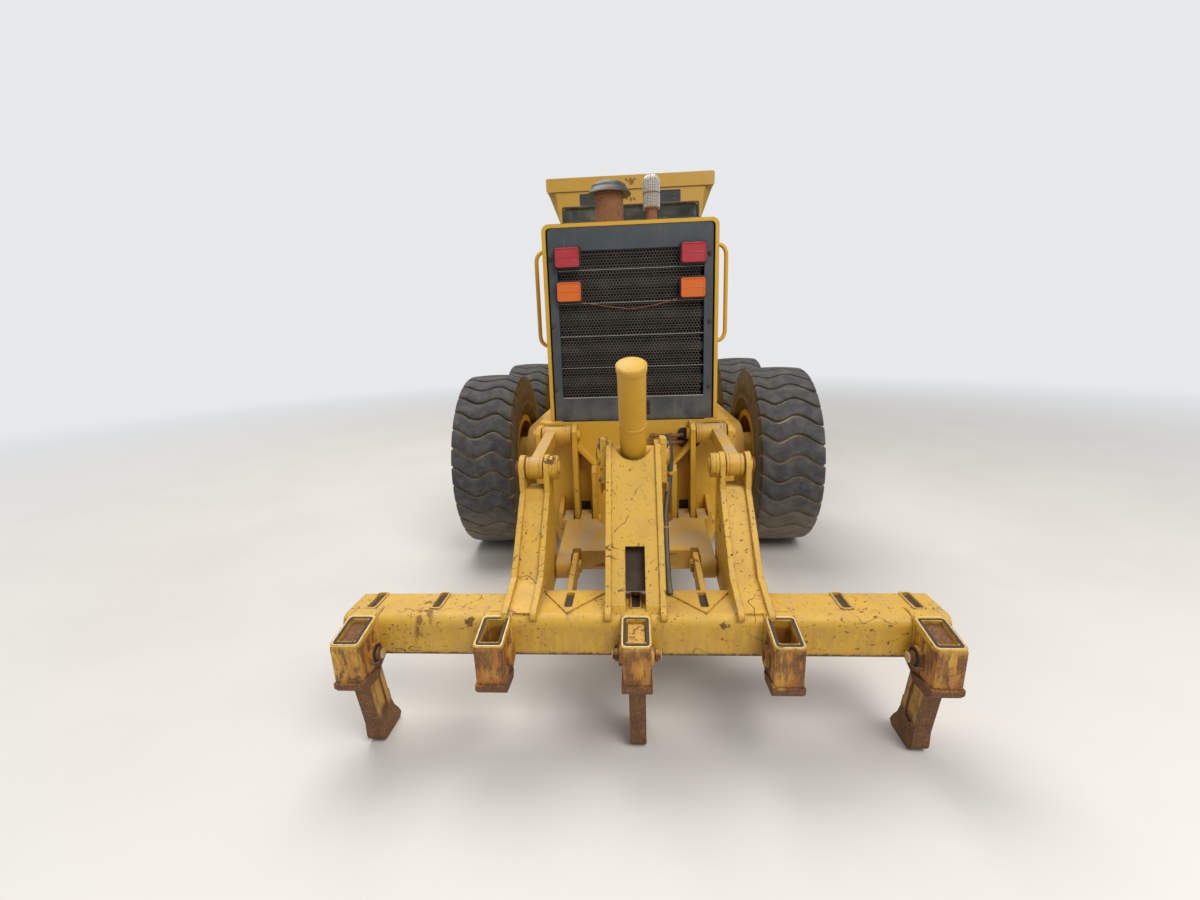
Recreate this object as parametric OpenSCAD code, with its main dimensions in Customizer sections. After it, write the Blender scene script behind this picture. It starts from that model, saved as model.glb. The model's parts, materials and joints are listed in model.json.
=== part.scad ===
// Motor grader with a rear ripper, in millimetres.
// +Y is forward, +X is the operator's right, +Z is up, and z = 0 is the ground.
// Inside a module y is counted from the rear axle of the tandem, forward.

/* [Wheels] */
// Radius of a tyre over its lugs
tyre_r = 660; // [640:5:680]
// Width of a tyre over its side walls
tyre_w = 436; // [400:4:450]
// Width of the tread
tread_w = 404; // [380:4:420]
// Number of lugs round a tyre
lug_n = 30; // [24:1:32]
// Height of a lug
lug_h = 30; // [20:2:36]
// Radius of the rim where the bead sits
rim_r = 318; // [300:2:330]
// Distance of the rim's flanges in from the tyre's side walls
bead_in = 40; // [36:1:44]
// Distance between the middles of a left and a right tyre
track = 2106; // [2080:2:2130]
// Distance between the two axles of a tandem
tandem_base = 1522; // [1500:2:1560]
// Distance from the middle of the tandem to the front axle
wheelbase = 6086; // [6040:2:6140]

/* [Tandems and rear axle] */
// Height of a tandem housing
tandem_h = 506; // [460:2:520]
// Width of a tandem housing
tandem_w = 200; // [180:2:210]
// Distance from the middle of the machine to a tandem's outer face
tandem_x = 812; // [806:1:816]
// Radius of a wheel spindle
spindle_r = 90; // [80:1:100]
// Radius of the axle housing
axle_r = 150; // [130:2:160]
// Radius of the bulge in the middle of the axle housing
bulge_r = 230; // [200:2:240]

/* [Rear frame] */
// Distance from the rear axle back to the rear plate's face
plate_y = 1180; // [1160:2:1200]
// Half width of the rear plate
plate_x = 560; // [540:2:580]
// Height of the rear plate's top edge
plate_top = 1125; // [1110:1:1130]
// Height of the rear plate's bottom edge
plate_low = 400; // [380:2:440]
// Thickness of the rear plate
plate_t = 40; // [30:2:50]
// Half distance between the outer faces of the frame rails
rail_x = 530; // [500:2:540]
// Width of a frame rail
rail_w = 130; // [100:2:150]
// Height of a frame rail
rail_h = 290; // [260:2:300]

/* [Hood] */
// Half width of the hood
hood_x = 470; // [460:1:480]
// Height of the hood's top
hood_top = 2184; // [2160:2:2200]
// Distance from the rear axle back to the hood's rear edge
hood_rear = 1110; // [1100:2:1140]
// Length of the hood
hood_len = 2950; // [2900:10:3000]
// Thickness of the hood's panels
hood_t = 20; // [14:1:24]
// Distance from the rear axle forward to the hinges of the hood's doors
door_y = 1600; // [1500:10:1700]
// Length of a hood door
door_len = 1050; // [900:10:1100]
// Height of a hood door's lower edge
door_z = 1370; // [1360:2:1400]
// Height of a hood door
door_h = 700; // [600:10:720]
// Distance from the rear axle forward to the exhaust and the air intake
stack_y = 500; // [400:10:600]
// Distance of the air intake's stack to the left of the middle
intake_x = -165; // [-180:1:-150]
// Distance of the exhaust to the right of the middle
pipe_x = 175; // [150:1:190]
// Half width of the grille panel
grille_x = 440; // [430:1:445]
// Height of the header band above the mesh
header_h = 118; // [100:2:130]
// Height of the plate below the mesh
lower_plate_h = 130; // [110:2:150]
// Radius of the exhaust stack's guard
exhaust_r = 64; // [58:1:70]
// Height of the exhaust stack's tip
exhaust_top = 2830; // [2780:5:2860]
// Radius of the air intake's stack
intake_r = 112; // [104:1:120]
// Radius of the air intake's cap
cap_r = 172; // [160:1:180]
// Height of the air intake's cap
intake_top = 2800; // [2760:5:2820]

/* [Hitch and front frame] */
// Distance from the rear axle forward to the articulation pins
hitch_y = 2170; // [2150:2:2190]
// Radius of an articulation pin
hitch_pin_r = 45; // [40:1:52]
// Width of the front frame's box
goose_w = 300; // [280:2:320]
// Height of the underside of the front frame's arch
arch_low = 1560; // [1540:2:1590]
// Height of the top of the front frame's arch
arch_top = 1900; // [1880:2:1930]

/* [Cab] */
// Distance from the rear axle forward to the cab's rear wall
cab_y = 2500; // [2480:2:2520]
// Distance from the rear axle forward to the rear edge of the cab's doors
cab_door_y = 2620; // [2600:2:2640]
// Length of a cab door
cab_door_len = 720; // [680:2:740]
// Height of the cab doors' lower edge
door_low = 1720; // [1700:2:1740]
// Height of the cab doors' upper edge
door_top = 2840; // [2800:2:2850]
// Half width of the cab's body
cab_x = 810; // [800:2:820]
// Height of the cab's floor
floor_z = 1620; // [1600:2:1640]
// Height of the cab's eaves, where the flared roof begins
eaves_z = 2880; // [2860:2:2900]
// Height of the roof's lower edge
fascia_z = 3212; // [3200:2:3220]
// Height of the roof's top
roof_z = 3356; // [3340:2:3370]
// Half width of the roof
roof_x = 955; // [940:1:960]
// Thickness of the cab's walls
cab_t = 60; // [50:2:70]

/* [Front axle] */
// Height of the front axle's middle
front_clear = 620; // [600:5:640]
// Distance between the kingpins
kingpin_span = 1440; // [1430:2:1450]
// Radius of a kingpin
kingpin_r = 40; // [36:1:44]

/* [Blade] */
// Length of the moldboard
blade_len = 3658; // [3600:2:3700]
// Height of the moldboard
blade_h = 610; // [590:2:630]
// Thickness of the moldboard
blade_t = 25; // [22:1:28]
// Radius of the moldboard's curve
blade_r = 413; // [400:1:430]
// Distance from the front axle back to the cutting edge
blade_base = 2565; // [2540:5:2590]
// Outer radius of the circle
circle_r = 765; // [750:1:780]
// Width of the circle's ring
ring_w = 120; // [100:2:130]
// Number of teeth inside the circle
circle_teeth = 60; // [48:2:64]

/* [Ripper] */
// Half length of the ripper beam
beam_x = 1150; // [1130:2:1180]
// Height of the ripper beam's top
beam_top = 556; // [550:2:560]
// Height of the ripper beam's section
beam_h = 176; // [170:2:184]
// Depth of the ripper beam's section
beam_d = 216; // [210:2:220]
// Distance from the rear axle back to the middle of the beam
beam_y = 2163; // [2155:1:2170]
// Distance between neighbouring shank pockets
pocket_step = 534; // [524:2:540]
// Tilt of the pockets
pocket_tilt = 12; // [10:1:14]
// Width of a shank
shank_w = 64; // [60:1:68]
// Distance from the rear axle back to the link pins on the frame
link_y = 1250; // [1244:2:1260]
// Height of the upper link pins on the frame
link_up_z = 1066; // [1060:1:1072]
// Height of the lower link pins on the frame
link_low_z = 580; // [570:1:590]
// Distance from the frame's link pins back to the arms' link pins
link_len = 510; // [500:2:520]
// Drop from the frame's link pins to the arms' link pins
link_drop = 50; // [40:1:60]
// Radius of the link pins
pin_r = 30; // [26:1:32]
// Distance from the middle of the machine to the middle of an arm
arm_x = 448; // [440:1:456]
// Width of an arm
arm_w = 136; // [130:1:140]
// Radius of the ripper cylinder's barrel
ram_r = 58; // [54:1:64]

/* [Hidden] */
$fn = 48;

// Clearances
fit = 0.1;
seat_gap = 0.3;
high_window_z = fascia_z - 177;
side_gap = 6;

// Places along the machine, counted from the rear axle
wheel_x = track / 2;
rear_hub = tandem_x + 3 - wheel_x;
front_hub = -100;
mid_y = tandem_base;
axle_y = tandem_base / 2;
front_y = axle_y + wheelbase;
beam_back = beam_d / 2;
pocket_back = 177;
pocket_z = beam_top - 22;
pocket_half = 84;
pocket_w = 100;
pocket_low = 326;
pocket_rear = beam_y + pocket_back + pocket_half;
shank_half = 54;
shank_pin_r = 16;
shank_pin_z = -107;
slot_w = 32;
slot_len = 118;
slot_y = beam_y - 18;
rear_reach = pocket_rear + 1;
nose_reach = 640;
nose_t = 60;
nose_x = 340;
front_reach = front_y + nose_reach + nose_t;
rear_axle_y = (rear_reach - front_reach) / 2;

// Lower and upper articulation pins
hitch_low = 680;
hitch_up = 1120;

// The ripper's linkage
link_rear_y = link_y + link_len;
arm_up_z = link_up_z - link_drop;
arm_low_z = link_low_z - link_drop;
in_x = arm_x - arm_w / 2;
out_x = arm_x + arm_w / 2;
window_z = beam_top + 212;
trunnion_y = 1780;
trunnion_z = 1080;
trunnion_r = 35;
ram_eye_y = 1490;
ram_eye_z = 560;
ram_tilt = atan2(trunnion_y - ram_eye_y, trunnion_z - ram_eye_z);

// The blade's group
edge_y = front_y - blade_base;
chord_y = edge_y - 100;
chord_z = 58;
bow = sqrt(pow(blade_r, 2) - pow(blade_h / 2, 2));
bow_y = chord_y + bow;
bow_z = chord_z + blade_h / 2;
circle_y = chord_y + 246;
tip_y = chord_y - 230;
tip_z = 243;
arm_out = 400;
tip_eye_y = chord_y - 215;
tip_eye_z = 478;
tip_pin_y = circle_y - 700;
tip_pin_z = 690;
tip_ram_tilt = atan2(tip_eye_y - tip_pin_y, tip_pin_z - tip_eye_z);
rail_up_z = chord_z + 430;
rail_low_z = chord_z + 120;
rail_y = chord_y - 165;
shift_y = chord_y - 150;
shift_z = chord_z + 545;
rise_y = circle_y - circle_r - 160;
cab_mounts = [cab_y + 100, cab_y + 830];
lift_x = 470;
lift_y = circle_y + 100;
lift_z = 1800;
lift_eye_z = 1040;
lift_top_y = lift_y + 200;
lift_lean = atan2(lift_top_y - lift_y, lift_z - lift_eye_z);
axle_pin_r = 45;
axle_pin_z = 840;
cheek_in = 135;
fork_r = 85;
fork_h = 110;
fork_gap = 62;
arm_t = 32;
arm_len = 300;
ball_y = front_y - 430;
ball_z = 930;
ball_pin_r = 30;
tongue = 36;
ring_z = 762;
ring_h = 78;
bar_z = 850;
bar_h = 130;

// Hinges of the doors
hinge_out = 11;
hinge_r = 10;
hinge_pin_r = 5;
hinge_h = 80;
hinge_lug = 24;
door_hinges = [door_z + 80, door_z + door_h - 160];
cab_hinges = [door_low + 80, door_top - 160];

yellow = [0.82, 0.63, 0.16];
dark = [0.17, 0.18, 0.19];
steel = [0.55, 0.55, 0.56];
rust = [0.42, 0.25, 0.15];

module from_axle() {
    translate([0, rear_axle_y, 0]) children();
}

module both() {
    children();
    mirror([1, 0, 0]) children();
}

module circle_at(x, y, r) {
    translate([x, y]) circle(r = r);
}

module block(lo, hi) {
    translate(lo) cube(hi - lo);
}

// A plate whose outline is given in y and z, from x0 to x1
module side_plate(x0, x1) {
    translate([x0, 0, 0]) rotate([90, 0, 90]) linear_extrude(x1 - x0) children();
}

// A plate whose outline is given in x and z, from y0 to y1
module cross_plate(y0, y1) {
    translate([0, y1, 0]) rotate([90, 0, 0]) linear_extrude(y1 - y0) children();
}

module flat_plate(z0, z1) {
    translate([0, 0, z0]) linear_extrude(z1 - z0) children();
}

module x_rod(y, z, r, x0, x1) {
    translate([x0, y, z]) rotate([0, 90, 0]) cylinder(r = r, h = x1 - x0);
}

module y_rod(x, z, r, y0, y1) {
    translate([x, y0, z]) rotate([-90, 0, 0]) cylinder(r = r, h = y1 - y0);
}

module z_rod(x, y, r, z0, z1) {
    translate([x, y, z0]) cylinder(r = r, h = z1 - z0);
}

// A straight rod between two points
module rod_between(p, q, r) {
    d = q - p;
    translate(p) rotate([0, acos(d[2] / norm(d)), atan2(d[1], d[0])]) cylinder(r = r, h = norm(d));
}

// A bent tube through points, with ball corners
module tube_path(points, r) {
    for (i = [0:len(points) - 2]) rod_between(points[i], points[i + 1], r);
    for (i = [1:len(points) - 2]) translate(points[i]) sphere(r = r);
}

// A flat bar with round ends
module capsule(p, q, r) {
    d = q - p;
    translate(p) circle(r = r);
    translate(q) circle(r = r);
    translate(p) rotate(atan2(d[1], d[0])) translate([0, -r]) square([norm(d), 2 * r]);
}

// A rectangle with round corners, from lo to hi
module round_rect(lo, hi, r) {
    translate([lo[0] + r, lo[1]]) square([hi[0] - lo[0] - 2 * r, hi[1] - lo[1]]);
    translate([lo[0], lo[1] + r]) square([hi[0] - lo[0], hi[1] - lo[1] - 2 * r]);
    for (x = [lo[0] + r, hi[0] - r], y = [lo[1] + r, hi[1] - r]) translate([x, y]) circle(r = r);
}

// The ring-shaped lug profile of a tread, seen from its side
module tread_outline() {
    step = 360 / lug_n;
    r0 = tyre_r - lug_h;
    r1 = tyre_r + 8;
    round_fn = 240;
    // edges: share of the pitch from the lug's middle, radius
    edges = [[-0.44, r0], [-0.38, r1], [0.38, r1], [0.44, r0]];
    intersection() {
        rotate(-90) polygon([for (i = [0:lug_n - 1], e = edges)
            let (a = (i + e[0]) * step) [e[1] * cos(a), e[1] * sin(a)]]);
        circle(r = tyre_r, $fn = round_fn);
    }
}

// A tyre whose axle is along x, with its middle at the origin
module tyre() {
    w = tyre_w / 2;
    t = tread_w / 2;
    r0 = tyre_r - lug_h;
    bead = rim_r + seat_gap;
    color([0.13, 0.13, 0.13]) difference() {
        union() {
            side_plate(-t, t) difference() {
                tread_outline();
                circle(r = r0 - 70);
            }
            rotate([0, 90, 0]) rotate_extrude() polygon([[bead - 1, bead_in - w], [bead + 40, bead_in - w],
                [bead + 90, -w], [r0 - 110, -w], [r0 - 10, 12 - t], [r0 - 10, t - 12], [r0 - 110, w],
                [bead + 90, w], [bead + 40, w - bead_in], [bead - 1, w - bead_in]]);
        }
        x_rod(0, 0, bead, -w - 1, w + 1);
    }
}

// A rim with its disc and hub, whose outer side is towards +x
module rim(hub_in) {
    w = tyre_w / 2 - bead_in + seat_gap;
    flange = 16;
    color(yellow) difference() {
        union() {
            rotate([0, 90, 0]) rotate_extrude() polygon([[rim_r - 22, -w - flange],
                [rim_r + 24, -w - flange], [rim_r + 24, -w], [rim_r, -w], [rim_r, w],
                [rim_r + 24, w], [rim_r + 24, w + flange], [rim_r - 22, w + flange]]);
            x_rod(0, 0, rim_r - 8, 20, 44);
            x_rod(0, 0, 165, hub_in, 90);
        }
        x_rod(0, 0, spindle_r + fit, hub_in - 1, 60);
        for (i = [0:11]) rotate([i * 30, 0, 0]) x_rod(0, 215, 14, 0, 60);
    }
}

module wheel_place(x, y) {
    from_axle() translate([x, y, tyre_r]) mirror([x < 0 ? 1 : 0, 0, 0]) children();
}

// The rails, the rear plate with its link brackets, the tank and the rear half of the hitch
module rear_frame() {
    lug = 130;
    color(yellow) from_axle() difference() {
        union() {
            both() block([rail_x - rail_w, -plate_y + plate_t - 1, plate_top - rail_h],
                [rail_x, 1960, plate_top]);
            cross_plate(-plate_y, -plate_y + plate_t) polygon([[-plate_x, plate_top - 70],
                [-plate_x + 60, plate_top], [plate_x - 60, plate_top], [plate_x, plate_top - 70],
                [plate_x, 700], [plate_x - 130, plate_low], [130 - plate_x, plate_low],
                [-plate_x, 700]]);
            // tank between the rails
            block([rail_w - rail_x, -plate_y + plate_t - 1, 500], [rail_x - rail_w, -420, 840]);
            // cross members that carry the engine
            for (y = [300, 1300]) block([rail_w - rail_x - 1, y, 850],
                [rail_x - rail_w + 1, y + 120, 900]);
            // saddles over the axle housing
            both() block([rail_x - rail_w, axle_y - 170, 760],
                [rail_x, axle_y + 170, plate_top - rail_h + 1]);
            // hitch box and lugs
            block([-rail_x, 1920, 680], [rail_x, 2010, 1250]);
            for (z = [hitch_low + 60, hitch_up + 60]) flat_plate(z, z + 50) {
                translate([0, hitch_y]) circle(r = lug);
                translate([-lug, 2000]) square([2 * lug, hitch_y - 2000]);
            }
            both() link_bracket();
            both() side_plate(40, 66) capsule([-plate_y, ram_eye_z], [-ram_eye_y, ram_eye_z], 62);
        }
        x_rod(axle_y, tyre_r, axle_r + seat_gap, -rail_x - 1, rail_x + 1);
        for (z = [hitch_low, hitch_up]) z_rod(0, hitch_y, hitch_pin_r + fit, z, z + 170);
        cross_plate(-plate_y - 1, -plate_y + plate_t + 200) capsule([335, 1010], [335, 1050], 36);
        both() block([384, -plate_y - 1, plate_top - 48], [486, -plate_y + 90, plate_top - 20]);
    }
}

// Ears that hold the ripper's link pins, on the right of the rear plate
module link_bracket() {
    back = -link_y;
    // ears: inner face, low end, high end
    ears = [[205, 500, 900], [305, 500, plate_top], [500, link_up_z - 90, plate_top - 10]];
    for (e = ears) side_plate(e[0], e[0] + 26) polygon([[-plate_y + 1, e[1]], [back, e[1]],
        [back - 62, e[1] + 50], [back - 62, e[2] - 30], [back - 40, e[2]], [-plate_y + 1, e[2]]]);
    side_plate(398, 422) polygon([[-plate_y + 1, 500], [back - 50, 520], [back - 62, 640],
        [-plate_y + 1, 700]]);
    cross_plate(-plate_y - 90, -plate_y + 1) polygon([[206, 880], [310, 990], [310, 1016],
        [206, 906]]);
    x_rod(back, link_up_z, pin_r, 290, 545);
    x_rod(back, link_low_z, pin_r, 190, 438);
}

// The hood's shell, open at its rear for the grille and at its sides for the doors
module hood() {
    x = hood_x;
    y0 = -hood_rear;
    y1 = y0 + hood_len;
    low = plate_top + seat_gap;
    color(yellow) from_axle() both() for (z = door_hinges) hinge_lugs(x, door_y, z, 1);
    color(yellow) from_axle() difference() {
        union() {
            cross_plate(y0, y1) difference() {
                round_rect([-x, low - 60], [x, hood_top], 40);
                round_rect([-x + hood_t, low - 70], [x - hood_t, hood_top - hood_t], 24);
                translate([-x - 1, low - 100]) square([2 * x + 2, 100]);
            }
            block([-x + 1, y1 - hood_t, low], [x - 1, y1, hood_top - 41]);
            cross_plate(y1 - hood_t, y1) difference() {
                round_rect([-x, low - 60], [x, hood_top], 40);
                translate([-x - 1, low - 100]) square([2 * x + 2, 100]);
            }
        }
        both() block([x - hood_t - 5, door_y - door_len - 5, door_z - 5],
            [x + 5, door_y + 5, door_z + door_h + 5]);
        z_rod(intake_x, stack_y, intake_r - 10, hood_top - 100, hood_top + 1);
        z_rod(pipe_x, stack_y, exhaust_r - 18, hood_top - 100, hood_top + 1);
    }
}

// A side door of the hood, hinged at its front edge
module hood_door() {
    x = hood_x;
    color(yellow) from_axle() {
        difference() {
            block([x - hood_t, door_y - door_len, door_z], [x, door_y, door_z + door_h]);
            for (i = [0:11]) translate([x - hood_t - 1, door_y - door_len + 120, door_z + 120 + i * 36])
                cube([hood_t + 2, door_len - 300, 14]);
        }
        for (z = door_hinges) hinge_leaf(x, door_y, z, -1);
    }
}

// The black panel at the hood's rear, with slats across its opening
module grille() {
    y0 = -hood_rear + 2;
    low = plate_top + seat_gap;
    top = hood_top - hood_t - 2;
    mesh_low = low + lower_plate_h;
    mesh_top = top - header_h;
    strip = 46;
    slats = 24;
    pitch = (mesh_top - mesh_low) / slats;
    color(dark) from_axle() {
        difference() {
            cross_plate(y0, y0 + 40) {
                round_rect([-grille_x, top - 100], [grille_x, top], 24);
                translate([-grille_x, low]) square([2 * grille_x, top - 50 - low]);
            }
            block([-grille_x + strip, y0 - 1, mesh_low], [grille_x - strip, y0 + 41, mesh_top]);
        }
        for (i = [0:slats - 1]) block([-grille_x + strip - 1, y0 + 14, mesh_low + (i + 0.5) * pitch - 4],
            [grille_x - strip + 1, y0 + 34, mesh_low + (i + 0.5) * pitch + 4]);
        for (x = [-130, 130]) block([x - 6, y0 + 16, mesh_low - 1], [x + 6, y0 + 30, mesh_top + 1]);
    }
}

// Two red and two amber lamps on the grille's corners
module tail_lamps() {
    // lamps: half spacing, height, colour
    lamps = [[334, 2008, [0.70, 0.10, 0.12]], [331, 1832, [0.95, 0.45, 0.05]]];
    for (l = lamps) color(l[2]) from_axle() both() translate([l[0], 0, l[1]])
        cross_plate(-hood_rear - 40, -hood_rear + 1.7) round_rect([-64, -50], [64, 50], 12);
}

// The cooler behind the grille
module radiator() {
    color(dark) from_axle() block([-hood_x + hood_t + 10, -1000, plate_top + seat_gap],
        [hood_x - hood_t - 10, -860, hood_top - 90]);
}

// The engine as one block at its place
module engine() {
    color(steel) from_axle() {
        block([-230, 240, 900], [230, 1480, 1560]);
        block([-150, 300, 1559], [150, 1400, 1840]);
    }
}

// The exhaust pipe with its round guard
module exhaust() {
    color(steel) from_axle() {
        z_rod(pipe_x, stack_y, exhaust_r - 19, hood_top - 150, exhaust_top - 10);
        z_rod(pipe_x, stack_y, exhaust_r, hood_top + 160, exhaust_top);
        z_rod(pipe_x, stack_y, exhaust_r + 10, hood_top + seat_gap, hood_top + 14);
    }
}

// The intake's stack under its mushroom cap
module air_intake() {
    color(rust) from_axle() {
        z_rod(intake_x, stack_y, intake_r - 12, hood_top - 120, hood_top + 20);
        z_rod(intake_x, stack_y, intake_r, hood_top + seat_gap, intake_top - 60);
        translate([intake_x, stack_y, intake_top - 90]) cylinder(r1 = cap_r, r2 = cap_r - 30, h = 50);
        translate([intake_x, stack_y, intake_top - 40.5]) cylinder(r1 = cap_r - 30, r2 = 60, h = 40.5);
    }
}

// The axle housing between the tandems, with a round bulge and end flanges
module rear_axle() {
    inner = tandem_x - tandem_w;
    color(yellow) from_axle() translate([0, axle_y, tyre_r]) rotate([0, 90, 0]) rotate_extrude()
        intersection() {
            union() {
                circle(r = bulge_r, $fn = 96);
                translate([-axle_r, -inner]) square([2 * axle_r, 2 * inner]);
                for (y = [-inner, inner - 50]) translate([-215, y]) square([430, 50]);
            }
            translate([0, -inner]) square([bulge_r + 1, 2 * inner]);
        }
}

// A tandem housing on the right, with its two wheel spindles
module tandem() {
    r = tandem_h / 2;
    inner = tandem_x - tandem_w;
    color(yellow) from_axle() {
        side_plate(inner, tandem_x) capsule([0, tyre_r], [tandem_base, tyre_r], r);
        for (y = [0, tandem_base]) {
            x_rod(y, tyre_r, spindle_r, tandem_x - 1, wheel_x + 55);
            x_rod(y, tyre_r, 180, tandem_x - 1, tandem_x + 2.5);
        }
    }
}

// Grab handles on the hood, and the steps before the middle wheels
module handrails() {
    y = -700;
    x0 = hood_x;
    x1 = hood_x + 130;
    color(yellow) from_axle() both() {
        tube_path([[x0, y, 2110], [x1, y, 2110], [x1, y, 1540], [x0, y, 1540]], 15);
        for (z = [1540, 2110]) x_rod(y, z, 28, x0, x0 + 10);
    }
}

// A door's half of a hinge on a side face at x: a knuckle and a strap towards dir along y
module hinge_leaf(x, y, z, dir) {
    difference() {
        z_rod(x + hinge_out, y, hinge_r, z, z + hinge_h);
        z_rod(x + hinge_out, y, hinge_pin_r + fit, z - 1, z + hinge_h + 1);
    }
    block([x - 1, y + min(dir * 8, dir * 50), z], [x + 5, y + max(dir * 8, dir * 50), z + hinge_h]);
}

// The fixed half: a lug above and one below the knuckle, with the pin between them
module hinge_lugs(x, y, z, dir) {
    for (low = [z - 2 - hinge_lug, z + hinge_h + 2]) {
        z_rod(x + hinge_out, y, hinge_r, low, low + hinge_lug);
        block([x - 1, y + min(0, dir * 46), low], [x + 6, y + max(0, dir * 46), low + hinge_lug]);
    }
    z_rod(x + hinge_out, y, hinge_pin_r, z - 2 - hinge_lug, z + hinge_h + 2 + hinge_lug);
}

// A pocket's or a shank's own frame: its rim's middle, tilted so that its foot leads
module pocket_frame(x) {
    translate([x, -beam_y - pocket_back, pocket_z]) rotate([pocket_tilt, 0, 0]) children();
}

// The beam with its pockets and slots, the two arms and the upright that carries the cylinder
module ripper_frame() {
    back = -beam_y - beam_back;
    front = -beam_y + beam_back;
    low = beam_top - beam_h;
    slots = [-4, -3, -1, 0, 1, 3, 4];
    rim = 9;
    color(yellow) from_axle() difference() {
        union() {
            side_plate(-beam_x, beam_x) round_rect([back, low], [front, beam_top], 36);
            for (i = [-2:2]) pocket(i * pocket_step);
            for (i = slots) translate([i * pocket_step / 2, -slot_y, 0])
                flat_plate(beam_top - 1, beam_top + 5) round_rect([-slot_w / 2 - rim, -slot_len / 2 - rim],
                    [slot_w / 2 + rim, slot_len / 2 + rim], 14);
            both() {
                arm();
                // cover plates on the beam, between the arm and the upright and outside the arm
                flat_plate(beam_top - 1, beam_top + 7) {
                    polygon([[110, front - 12], [in_x + 6, front - 12], [pocket_step / 2, back + 24]]);
                    polygon([[out_x - 4, front - 8], [out_x + 70, back + 34], [out_x - 4, back + 34]]);
                }
            }
            upright();
        }
        for (i = [-2:2]) pocket_frame(i * pocket_step) {
            translate([0, 0, -400]) linear_extrude(460) round_rect([-shank_w / 2 - 3, -shank_half - 3],
                [shank_w / 2 + 3, shank_half + 3], 8);
            x_rod(0, shank_pin_z, shank_pin_r + 0.3, -90, 90);
        }
        for (i = slots) translate([i * pocket_step / 2, -slot_y, 0]) flat_plate(beam_top - 70, beam_top + 10)
            round_rect([-slot_w / 2, -slot_len / 2], [slot_w / 2, slot_len / 2], 8);
        // seat for the cylinder's barrel
        translate([0, -trunnion_y, trunnion_z]) rotate([ram_tilt, 0, 0])
            cylinder(r = ram_r + 25, h = 900, center = true);
        x_rod(-trunnion_y, trunnion_z, trunnion_r + fit, -160, 160);
    }
}

// A shank pocket on the beam's rear: a cast box with a rim on top, a lip below and pin bosses
module pocket(x) {
    half = pocket_w / 2;
    top = beam_top + 6;
    rear = -pocket_rear;
    side_plate(x - half, x + half) polygon([[-beam_y - 54, beam_top - 20], [-beam_y - 54, top],
        [-beam_y - 96, top - 1], [rear, pocket_z - 16], [rear + 6, pocket_low + 28],
        [rear + 24, pocket_low + 6], [rear + 120, pocket_low], [-beam_y - 22, beam_top - beam_h + 2]]);
    // lip
    side_plate(x - half - 6, x + half + 6) polygon([[rear - 1, pocket_low + 46], [rear - 1, pocket_low + 24],
        [rear + 20, pocket_low], [rear + 122, pocket_low - 8], [rear + 140, pocket_low + 20],
        [rear + 60, pocket_low + 40]]);
    pocket_frame(x) {
        translate([0, 0, -12]) linear_extrude(20)
            round_rect([-half - 5, -pocket_half - 1], [half + 5, pocket_half + 2], 18);
        x_rod(0, shank_pin_z, 40, -half - 16, half + 16);
    }
}

// The arm on the right: two cheeks that end in a fork, with a sunk plate between them
module arm() {
    ear = 24;
    sunk = 14;
    back = -beam_y - beam_back;
    front = -beam_y + beam_back;
    low = beam_top - beam_h;
    pivot = -link_rear_y;
    for (x = [in_x, out_x - ear]) side_plate(x, x + ear) {
        circle_at(pivot, arm_up_z, 60);
        circle_at(back + 8, beam_top + 2, 20);
        polygon([[pivot - 60, arm_up_z], [pivot - 56, arm_up_z - 100], [front - 32, beam_top + 74],
            [back + 8, beam_top + 22], [back + 8, beam_top - 18], [front - 20, low + 30],
            [front + 60, low + 60], [pivot + 60, arm_low_z + 40], [pivot + 70, arm_low_z + 190],
            [pivot + 60, arm_up_z]]);
    }
    side_plate(in_x + 1, out_x - 1) polygon([[pivot + 56, arm_up_z - 92], [pivot - 34, arm_up_z - 92],
        [pivot - 42, arm_up_z - 104], [front - 32 + sunk, beam_top + 70 - sunk], [back + 20, beam_top + 6],
        [back + 30, beam_top - 40], [front - 20, low + 30], [front + 60, low + 60],
        [pivot + 60, arm_low_z + 40], [pivot + 66, arm_low_z + 190]]);
    x_rod(pivot, arm_up_z, pin_r, in_x - 46, out_x + 14);
    x_rod(pivot, arm_up_z, 54, in_x - 38, in_x + 1);
    // inner ear and pin of the lower link
    side_plate(270, 294) polygon([[pivot - 60, arm_low_z - 40], [pivot + 20, arm_low_z - 62],
        [pivot + 60, arm_low_z], [pivot + 20, arm_low_z + 60], [front - 10, beam_top - 10],
        [front - 10, low + 20]]);
    side_plate(in_x, in_x + ear) capsule([pivot, arm_low_z], [front, arm_low_z - 40], 64);
    x_rod(pivot, arm_low_z, pin_r, 256, in_x + 40);
}

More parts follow.
